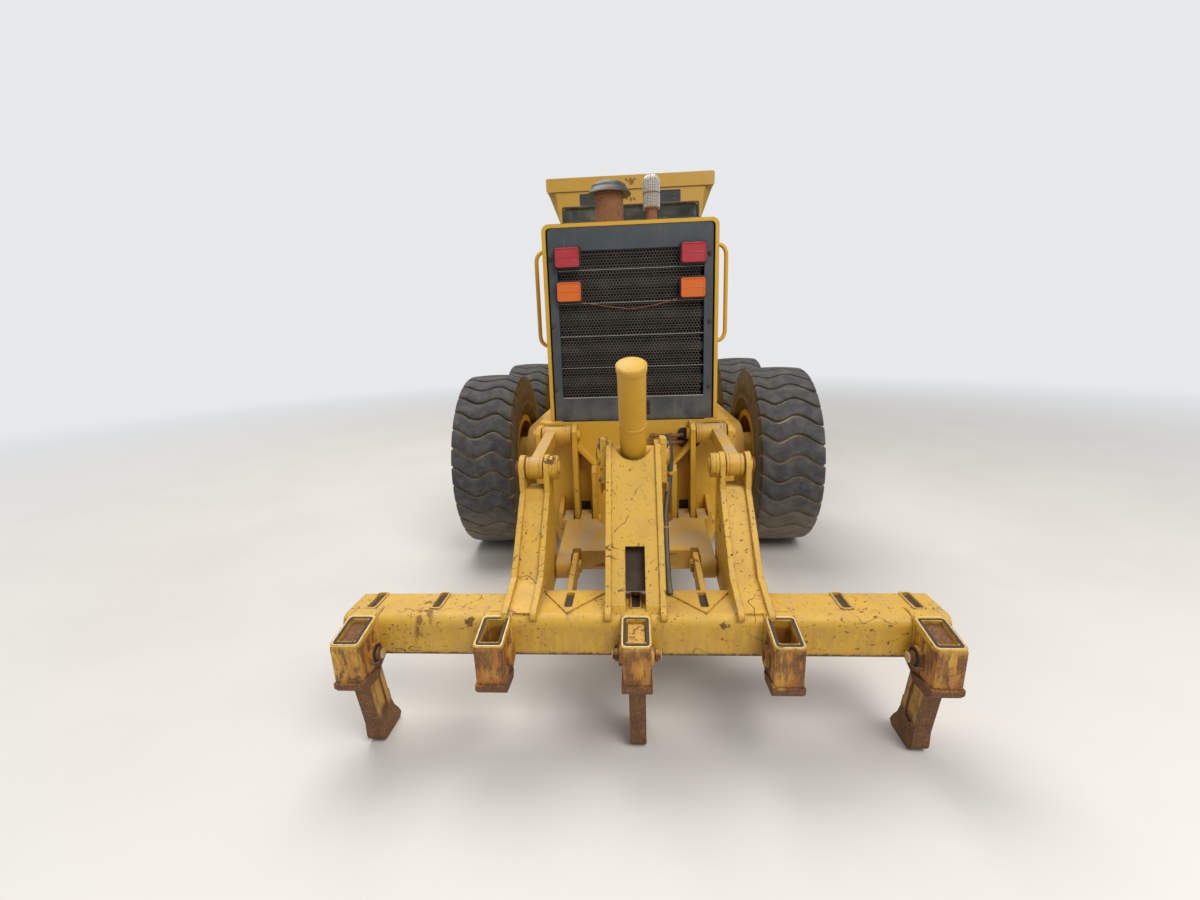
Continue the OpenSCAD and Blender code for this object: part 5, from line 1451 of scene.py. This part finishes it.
@dataclass
class Rails:
    """The two bent handrails on the hood's sides with their brackets."""

    y: float = -0.7
    wall: float = 0.472
    reach: float = 0.575
    low: float = 1.54
    high: float = 2.11
    bend: float = 0.07
    tube: float = 0.0125
    # A bracket's place, half its length, half its height and its thickness, and its bolts' places along it
    foot_wall: float = 0.470
    foot: tuple = (0.036, 0.027, 0.008)
    foot_bolts: tuple = (-0.028, 0.028)
    boss: Profile = ((0.0, 0.004), (0.021, 0.004), (0.021, 0.03), (0.017, 0.034), (0.0, 0.034))

    def build(self) -> None:
        """Makes the rails in place of the square ones."""
        paths, feet, bolts = [], bmesh.new(), {side: [] for side in Side}
        wide, high, thick = self.foot
        for side in Side:
            s = side.value
            corners = ((self.wall, self.high), (self.reach, self.high), (self.reach, self.low),
                       (self.wall, self.low))
            paths.append(bent([at(s * x, self.y, z) for x, z in corners], self.bend))
            for z in (self.low, self.high):
                turn = facing(at(s * self.foot_wall, self.y, z), (s, 0.0, 0.0))
                slab(feet, (-wide, -high, 0.0), (wide, high, thick), turn)
                lathe(feet, turn, self.boss, 20)
                bolts[side] += [turn @ Vector((u, 0.0, thick + 0.002)) for u in self.foot_bolts]
        rails = Tubes(YELLOW, 14).sweep("handrails_bent", paths, "rear_frame", self.tube, smooth=False)
        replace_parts(rails, "handrails")
        from_bmesh("handrail_brackets", feet, TRIM, "rear_frame")
        for side in Side:
            Fasteners(BOLT).place(f"handrail_bolts_{side.word}", bolts[side], "rear_frame", 0.007, 0.006,
                                  SIDEWAYS)


@dataclass
class CabTrim:
    """The roof's vents, rusty bolts and seam, the gaskets, and the doors' panes and handles."""

    rear: float = 2.440
    wall: float = 2.500
    vent: Point = (0.4535, 2.440, 3.116)
    vent_half: tuple = (0.116, 0.0575)
    # A rim is given by half its width, half its height, its bar, thickness and corner radius
    vent_rim: tuple = (0.1215, 0.0630, 0.006, 0.003, 0.010)
    slats: int = 8
    slat_first: float = -0.0505
    slat_step: float = 0.0144
    slat_tilt: float = math.radians(38)
    bolt_x: float = 0.010
    upper_bolts: Profile = ((-0.05, 3.312), (0.0, 3.316), (0.05, 3.310), (-0.02, 3.292), (0.02, 3.286),
                            (0.0, 3.262))
    lower_bolts: Profile = ((-0.045, 3.104), (0.0, 3.112), (0.0, 3.094), (0.045, 3.102))
    seam: tuple = ((-0.93, 3.205), (0.93, 3.205))
    # The rear windows' gaskets: height of the middle, and rim
    upper_gasket: tuple = (2.9575, (0.784, 0.0915, 0.018, 0.006, 0.020))
    lower_gasket: tuple = (2.460, (0.716, 0.396, 0.022, 0.008, 0.045))
    door_y: float = 2.98
    pane_x: float = 0.786
    pane_half: float = 0.299
    rubber_x: float = 0.808
    rubber_half: float = 0.314
    # Height over the ground of each pane's middle, and half its height
    panes: tuple = ((2.46, 0.32), (1.93, 0.14))
    # The handle's place, and its plate, grip and neck: lowest corner, highest corner, radius of the edges
    handle_at: Point = (0.810, 3.305, 2.02)
    handle: tuple = (((-0.018, -0.045, -0.001), (0.018, 0.045, 0.008), 0.004),
                     ((-0.010, -0.038, 0.012), (0.010, 0.030, 0.020), 0.004),
                     ((-0.008, 0.020, 0.004), (0.008, 0.034, 0.018), 0.003))

    def roof(self) -> None:
        """Adds the vents' slats, the two groups of bolts and the seam."""
        slats, (x, y, z), (wide, high) = bmesh.new(), self.vent, self.vent_half
        for side in Side:
            middle = at(side.value * x, y, z)
            rim_round(slats, facing(middle, BACK), *self.vent_rim)
            slab(slats, middle + Vector((-wide, 0.002, -high)), middle + Vector((wide, 0.0075, high)))
            for i in range(self.slats):
                place = middle + Vector((0.0, 0.0005, self.slat_first + i * self.slat_step))
                turn = Matrix.Translation(place) @ Matrix.Rotation(self.slat_tilt, 4, "X")
                slab(slats, (-wide, -0.004, -0.0012), (wide, 0.004, 0.0012), turn, 0.0008)
        bolts = [at(self.bolt_x + u, self.rear - 0.007, z) for u, z in self.upper_bolts]
        bolts += [at(self.bolt_x + u, self.rear - 0.003, z) for u, z in self.lower_bolts]
        from_bmesh("roof_vent_slats", slats, VENT, "front_frame")
        Fasteners(RUSTY).place("roof_bolts", bolts, "front_frame", 0.0075, 0.007)
        edge = [at(x, self.rear - 0.0045, z) for x, z in self.seam]
        Tubes(TRIM, 6).sweep("roof_seam", [edge], "front_frame", 0.003, smooth=False)

    def gaskets(self) -> None:
        """Adds the rear windows' rubber gaskets."""
        shape = bmesh.new()
        for y, (z, rim) in ((self.rear, self.upper_gasket), (self.wall, self.lower_gasket)):
            rim_round(shape, facing(at(0.0, y, z), BACK), *rim)
        from_bmesh("rear_gaskets", shape, TRIM, "front_frame")

    def doors(self) -> None:
        """Adds each cab door's panes, gaskets and handle."""
        for side in Side:
            s, body, out = side.value, f"cab_door_{side.word}", (side.value, 0.0, 0.0)
            panes, rubber = bmesh.new(), bmesh.new()
            for z, high in self.panes:
                turn, half = facing(at(s * self.pane_x, self.door_y, z), out), self.pane_half
                slab(panes, (-half, -high + 0.001, -0.003), (half, high - 0.001, 0.003), turn, 0.001)
                turn = facing(at(s * self.rubber_x, self.door_y, z), out)
                rim_round(rubber, turn, self.rubber_half, high + 0.014, 0.022, 0.007, 0.040)
            x, y, z = self.handle_at
            for low, high, soft in self.handle:
                slab(rubber, low, high, facing(at(s * x, y, z), out), soft)
            from_bmesh(f"door_panes_{side.word}", panes, GLASS, body)
            from_bmesh(f"door_rubbers_{side.word}", rubber, TRIM, body)

    def build(self) -> None:
        """Makes the cab's pieces."""
        self.roof()
        self.gaskets()
        self.doors()


@dataclass
class Wheels:
    """Nuts and hub caps on the six rims."""

    face: float = 0.046
    circle: float = 0.188
    nuts: int = 12
    nut_out: float = 0.006
    nut_radius: float = 0.015
    nut_height: float = 0.018
    cap: Profile = ((0.0, 0.040), (0.072, 0.040), (0.080, 0.044), (0.082, 0.056), (0.060, 0.062),
                    (0.030, 0.064), (0.028, 0.070), (0.0, 0.071))

    def build(self) -> None:
        """Makes each wheel's nuts and cap."""
        heads = Fasteners(BOLT)
        for place, side in WHEELS:
            low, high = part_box(f"tyre_{place}_{side.word}")
            body, out = f"wheel_{place}_{side.word}", Vector((side.value, 0.0, 0.0))
            centre, wide = (low + high) / 2 + out * self.face, self.circle
            angles = [2 * math.pi * (i + 0.5) / self.nuts for i in range(self.nuts)]
            spots = [centre + Vector((side.value * self.nut_out, wide * math.cos(a), wide * math.sin(a)))
                     for a in angles]
            heads.place(f"nuts_{place}_{side.word}", spots, body, self.nut_radius, self.nut_height, SIDEWAYS)
            turned(f"hub_cap_{place}_{side.word}", [facing(centre, tuple(out))], self.cap, YELLOW, body)


@dataclass
class RipperTrim:
    """The ripper's worn rims, weld beads, bolts, pin caps, hose and cylinder rings."""

    step: float = 0.534
    pocket: tuple = (-2.340, 0.534)
    tilt: float = math.radians(12.0)
    slots: tuple = (-4, -3, -1, 0, 1, 3, 4)
    slot: tuple = (-2.145, 0.5608)
    slot_half: tuple = (0.0162, 0.0588)
    # Rims of a pocket's mouth, of its painted shadow ring and of a slot: half width, half height, bar,
    # thickness and corner radius
    mouth_rim: tuple = (0.0520, 0.0790, 0.0045, 0.0020, 0.016)
    hollow_rim: tuple = (0.0470, 0.0720, 0.0115, 0.0012, 0.012)
    slot_rim: tuple = (0.0230, 0.0660, 0.0035, 0.0018, 0.012)
    rim_lift: float = 0.0078
    washer_x: float = 0.066
    pin_head_x: float = 0.0885
    pin_drop: float = -0.107
    trunnion: tuple = (-1.780, 1.080)
    link_pin: tuple = (-1.760, 1.016)
    frame_pin: tuple = (-1.250, 1.066)
    lean: float = math.atan2(0.401, 0.538)
    barrel_tilt: float = math.radians(29.1)
    washer: Profile = ((0.0, -0.002), (0.035, -0.002), (0.036, 0.001), (0.0, 0.0015))
    pin_head: Profile = ((0.0, 0.0), (0.019, 0.0), (0.020, 0.002), (0.016, 0.0045), (0.0, 0.0050))
    pin_cap: Profile = ((0.0, -0.004), (0.030, -0.004), (0.034, 0.0), (0.034, 0.004), (0.026, 0.007),
                        (0.024, 0.003), (0.014, 0.003), (0.012, 0.006), (0.0, 0.007))
    barrel_cap: Profile = ((0.0, 0.4615), (0.056, 0.4615), (0.058, 0.463), (0.055, 0.465), (0.0, 0.4655))
    pocket_weld: Profile = ((-2.200, 0.5575), (-2.250, 0.5570), (-2.2725, 0.530), (-2.2735, 0.470),
                            (-2.2735, 0.405))
    arm_weld: Profile = ((-2.060, 0.5580), (-2.150, 0.5580), (-2.245, 0.5575))
    lug_weld: Profile = ((-1.835, 0.960), (-1.790, 0.905), (-1.730, 1.015))
    # Distances of the beads from their pocket's middle, and of the arms' and lugs' beads from the machine's
    pocket_side: float = 0.0515
    arm_sides: tuple = (0.380, 0.516, 0.1185)
    lug_side: float = 0.146
    # The trunnion bearings' bolts: x of their heads, radius and angles of those in a circle, and the others
    bearing_x: float = 0.150
    bearing_circle: float = 0.040
    bearing_turns: tuple = (0.8, 2.35, 3.9, 5.5)
    bearing_bolts: Profile = ((-1.818, 1.130), (-1.745, 1.135), (-1.800, 0.965))
    link_cap_x: float = 0.530
    trunnion_cap_x: float = 0.158
    window: tuple = (-2.110, 0.672)
    # Each hose clip's place and lean, and its ring's section
    clips: tuple = ((0.164, -1.765, 0.985, 0.25), (0.137, -1.895, 0.782, 0.75))
    clip_ring: Profile = ((0.0125, -0.010), (0.0160, -0.010), (0.0160, 0.010), (0.0125, 0.010))
    barrel_rings: tuple = (-0.1095, 0.160)
    hose_path: tuple = (
        (0.152, -1.745, 1.160), (0.166, -1.750, 1.080), (0.164, -1.765, 0.985), (0.152, -1.805, 0.905),
        (0.138, -1.860, 0.830), (0.136, -1.930, 0.735), (0.136, -2.010, 0.640), (0.137, -2.070, 0.590),
        (0.140, -2.105, 0.563))

    def rims(self) -> None:
        """Adds the worn edges of the pockets and slots with painted highlight, dark rings and slot floors of
        painted shade, and the shanks' pins.
        """
        shape, dark = bmesh.new(), bmesh.new()
        for i in range(-2, 3):
            turn = Matrix.Translation(at(i * self.step, *self.pocket)) @ Matrix.Rotation(self.tilt, 4, "X")
            # The pale rim is worn edge with painted highlight
            rim_round(shape, turn @ Matrix.Translation((0.0, 0.0005, self.rim_lift)), *self.mouth_rim)
            # A dark ring just inside each mouth's rim is painted shadow, which makes the opening look larger
            rim_round(dark, turn @ Matrix.Translation((0.0, 0.0, self.rim_lift)), *self.hollow_rim)
            for s in (-1, 1) if i % 2 == 0 else ():
                pin = turn @ Vector((s * self.washer_x, 0.0, self.pin_drop))
                lathe(dark, facing(pin, (s, 0, 0)), self.washer, 24)
                pin = turn @ Vector((s * self.pin_head_x, 0.0, self.pin_drop))
                lathe(shape, facing(pin, (s, 0, 0)), self.pin_head, 20)
        wide, high = self.slot_half
        for i in self.slots:
            turn = Matrix.Translation(at(i * self.step / 2, *self.slot))
            rim_round(shape, turn, *self.slot_rim)
            # A dark slab inside each slot is painted shade
            slab(dark, turn @ Vector((-wide, -high, -0.030)), turn @ Vector((wide, high, -0.010)))
        from_bmesh("worn_rims", shape, WORN_AND_HIGHLIGHT, "ripper")
        from_bmesh("dark_hollows", dark, DARK_RUST_AND_SHADE, "ripper")

    def welds(self) -> None:
        """Lays weld beads round the pockets, the arms and the upright."""
        lines = [(i * self.step + s * self.pocket_side, self.pocket_weld)
                 for i in range(-2, 3) for s in (-1, 1)]
        for s in (-1, 1):
            lines += [(x * s, self.arm_weld) for x in self.arm_sides] + [(self.lug_side * s, self.lug_weld)]
        beads = [[at(x, y, z) for y, z in line] for x, line in lines]
        Tubes(LINK_YELLOW, 8).sweep("weld_beads", beads, "ripper", 0.0055)

    def bolts(self) -> None:
        """Bolts the trunnion's bearings and caps the pins."""
        (y0, z0), wide = self.trunnion, self.bearing_circle
        spots = [(y0 + wide * math.cos(a), z0 + wide * math.sin(a)) for a in self.bearing_turns]
        spots += self.bearing_bolts
        heads = [at(s * self.bearing_x, y, z) for s in (-1, 1) for y, z in spots]
        Fasteners(BOLT).place("trunnion_bolts", heads, "ripper", 0.010, 0.012, SIDEWAYS)
        pins = ((self.link_cap_x, self.link_pin), (self.trunnion_cap_x, self.trunnion))
        turns = [facing(at(s * x, *place), (s, 0, 0)) for s in (-1, 1) for x, place in pins]
        turned("pin_caps", turns, self.pin_cap, RUSTY, "ripper", 28)

    def plate(self) -> None:
        """Closes the upright's window behind with a dark plate of painted shade and rings the bosses."""
        shape = bmesh.new()
        turn = Matrix.Translation(at(0.0, *self.window)) @ Matrix.Rotation(-self.lean, 4, "X")
        # The dark plate behind the window is painted shade
        slab(shape, (-0.090, -0.003, -0.080), (0.090, 0.003, 0.150), turn)
        from_bmesh("window_back", shape, DARK_RUST_AND_SHADE, "ripper")
        links, arms = [], []
        for s in (-1, 1):
            for x, pin, radius, group in (
                    (0.350, self.frame_pin, 0.052, links), (0.366, self.frame_pin, 0.052, links),
                    (0.466, self.frame_pin, 0.052, links), (0.482, self.frame_pin, 0.052, links),
                    (0.424, self.link_pin, 0.050, links), (0.472, self.link_pin, 0.050, links),
                    (0.350, self.link_pin, 0.054, arms), (0.364, self.link_pin, 0.054, arms)):
                group.append(ring_path(at(s * x, *pin), radius, Y, Z))
        Tubes(LINK_YELLOW, 6).sweep("link_rings", links, "ripper_upper_links", 0.0030, smooth=False)
        Tubes(RIPPER_YELLOW, 6).sweep("arm_rings", arms, "ripper", 0.0030, smooth=False)

    def hose(self) -> None:
        """Clips the hose to the upright's right side."""
        Tubes(HOSE, 12).sweep("ripper_hose", [[at(*p) for p in self.hose_path]], "ripper", 0.0125)
        clips = bmesh.new()
        for x, y, z, lean in self.clips:
            turn = Matrix.Translation(at(x, y, z)) @ Matrix.Rotation(lean, 4, "X")
            lathe(clips, turn, self.clip_ring, 18)
            slab(clips, (-0.020, -0.006, -0.010), (-0.010, 0.006, 0.010), turn, 0.002)
        from_bmesh("hose_clips", clips, YELLOW, "ripper")

    def barrel(self) -> None:
        """Adds the cylinder's end cap and its two rings."""
        turn = Matrix.Translation(at(0.0, *self.trunnion)) @ Matrix.Rotation(self.barrel_tilt, 4, "X")
        shape = bmesh.new()
        lathe(shape, turn, self.barrel_cap, 40)
        for z in self.barrel_rings:
            lathe(shape, turn, [(0.057, z), (0.0610, z + 0.002), (0.0610, z + 0.014), (0.057, z + 0.016)], 40)
        from_bmesh("ripper_barrel_rings", shape, YELLOW, "ripper_barrel", True)

    def build(self) -> None:
        """Makes the ripper's pieces."""
        for make in (self.rims, self.welds, self.bolts, self.plate, self.hose, self.barrel):
            make()


@dataclass
class FrameFittings:
    """The rear plate's hollows and the two tubes that run into its oval hole."""

    face: float = -1.180
    oval: tuple = (0.277, 1.030)
    # The oval hole: half width, half height and corner radius; its rim has bar and thickness before the last
    oval_hole: tuple = (0.034, 0.056, 0.033)
    oval_rim: tuple = (0.041, 0.063, 0.0075, 0.005, 0.040)
    # The hollows on both sides: x, height, half width, half height and corner radius
    hollows: tuple = ((0.430, 1.092, 0.052, 0.019, 0.008), (0.296, 0.632, 0.043, 0.037, 0.010))
    tube_heights: tuple = (1.049, 1.009)
    # Each tube's points: x, y and drop below its height
    tube: tuple = ((0.085, -1.214, 0.0), (0.170, -1.212, 0.0), (0.235, -1.206, 0.002), (0.268, -1.190, 0.003),
                   (0.276, -1.172, 0.003))
    nut: Profile = ((0.0, -0.010), (0.0155, -0.010), (0.0155, 0.010), (0.0, 0.010))
    nut_x: tuple = (0.110, 0.205)
    nut_y: float = -1.2125

    def hollow(self, shape: bmesh.types.BMesh, x: float, z: float, wide: float, high: float,
               radius: float) -> None:
        """Adds one dark patch on the plate, painted shade for a hollow.

        Args:
            shape: The bmesh that it is added to.
            x: Its middle's distance to the right.
            z: Its middle's height.
            wide: Half its width.
            high: Half its height.
            radius: Its corners' radius.
        """
        turn = facing(at(x, self.face, z), BACK)
        loops = []
        for inset, lift in ((1.0, 0.0), (0.985, 0.0022)):
            loops.append([shape.verts.new(turn @ Vector((u * inset, v * inset, lift)))
                          for u, v in rounded(wide, high, radius)])
            shape.faces.new(loops[-1])
        low, top = loops
        for i in range(len(low)):
            j = (i + 1) % len(low)
            shape.faces.new((low[i], low[j], top[j], top[i]))

    def build(self) -> None:
        """Makes the hollows, the tubes and their fittings."""
        dark, rims = bmesh.new(), bmesh.new()
        x, z = self.oval
        # The oval hole and the hollows beside it are dark patches of painted shade
        self.hollow(dark, x, z, *self.oval_hole)
        rim_round(rims, facing(at(x, self.face, z), BACK), *self.oval_rim)
        for s in (-1, 1):
            for x, *sizes in self.hollows:
                self.hollow(dark, s * x, *sizes)
        from_bmesh("plate_hollows", dark, DARK_RUST_AND_SHADE, "rear_frame")
        from_bmesh("oval_hole_rim", rims, YELLOW, "rear_frame")
        tubes = [[at(x, y, z - drop) for x, y, drop in self.tube] for z in self.tube_heights]
        Tubes(STACK, 12).sweep("plate_tubes", tubes, "rear_frame", 0.0100)
        places = [at(x, self.nut_y, z) for z in self.tube_heights for x in self.nut_x]
        turns = [facing(place, (1.0, 0.0, 0.0)) for place in places]
        turned("plate_fittings", turns, self.nut, RUSTY, "rear_frame", 6, False)


@dataclass
class EdgeAndLatches:
    """The cutting edge's bolts and the hood doors' latches."""

    pitch: float = 0.152
    margin: float = 0.1
    # What the edge's thickness takes of its box, and where the heads are from the box's middle
    corner: float = 0.011
    lift: float = 0.010
    drop: float = 0.022
    latch_wall: float = 0.472
    latches: Profile = ((0.72, 1.99), (1.42, 1.99))
    # A latch's plate: half its length, half its height and its thickness
    plate: tuple = (0.030, 0.022, 0.006)
    knob: Profile = ((0.0, 0.003), (0.013, 0.003), (0.013, 0.012), (0.010, 0.014), (0.0, 0.014))

    def build(self) -> None:
        """Makes the bolt heads on the edge and the latches on the doors."""
        low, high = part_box("cutting_edge")
        slope = math.atan2(high.z - low.z - self.corner, high.y - low.y - self.corner)
        out = Vector((0.0, math.sin(slope), math.cos(slope)))
        along = Vector((0.0, math.cos(slope), -math.sin(slope)))
        middle = Vector((0.0, (low.y + high.y) / 2, (low.z + high.z) / 2))
        middle += out * self.lift - along * self.drop
        count = int((high.x - low.x - self.margin) / self.pitch)
        spots = [Vector(((i - count / 2) * self.pitch, 0.0, 0.0)) + middle for i in range(count + 1)]
        Fasteners(BOLT).place("edge_bolts", spots, "moldboard", 0.016, 0.006, (-slope, 0.0, 0.0))
        wide, high, thick = self.plate
        for side in Side:
            latch = bmesh.new()
            for y, z in self.latches:
                turn = facing(at(side.value * self.latch_wall, y, z), (side.value, 0.0, 0.0))
                slab(latch, (-wide, -high, 0.0), (wide, high, thick), turn)
                lathe(latch, turn, self.knob, 20)
            from_bmesh(f"hood_latches_{side.word}", latch, TRIM, f"hood_door_{side.word}")


def main() -> None:
    """Builds the looks in order."""
    logging.basicConfig(level=logging.INFO, format="%(name)s: %(message)s")
    dress_nodes()
    for group in (Studio(), Tyres(), RearPanel(), Stacks(), Rails(), CabTrim(), Wheels(), RipperTrim(),
                  FrameFittings(), EdgeAndLatches()):
        group.build()


if __name__ == "__main__":
    main()
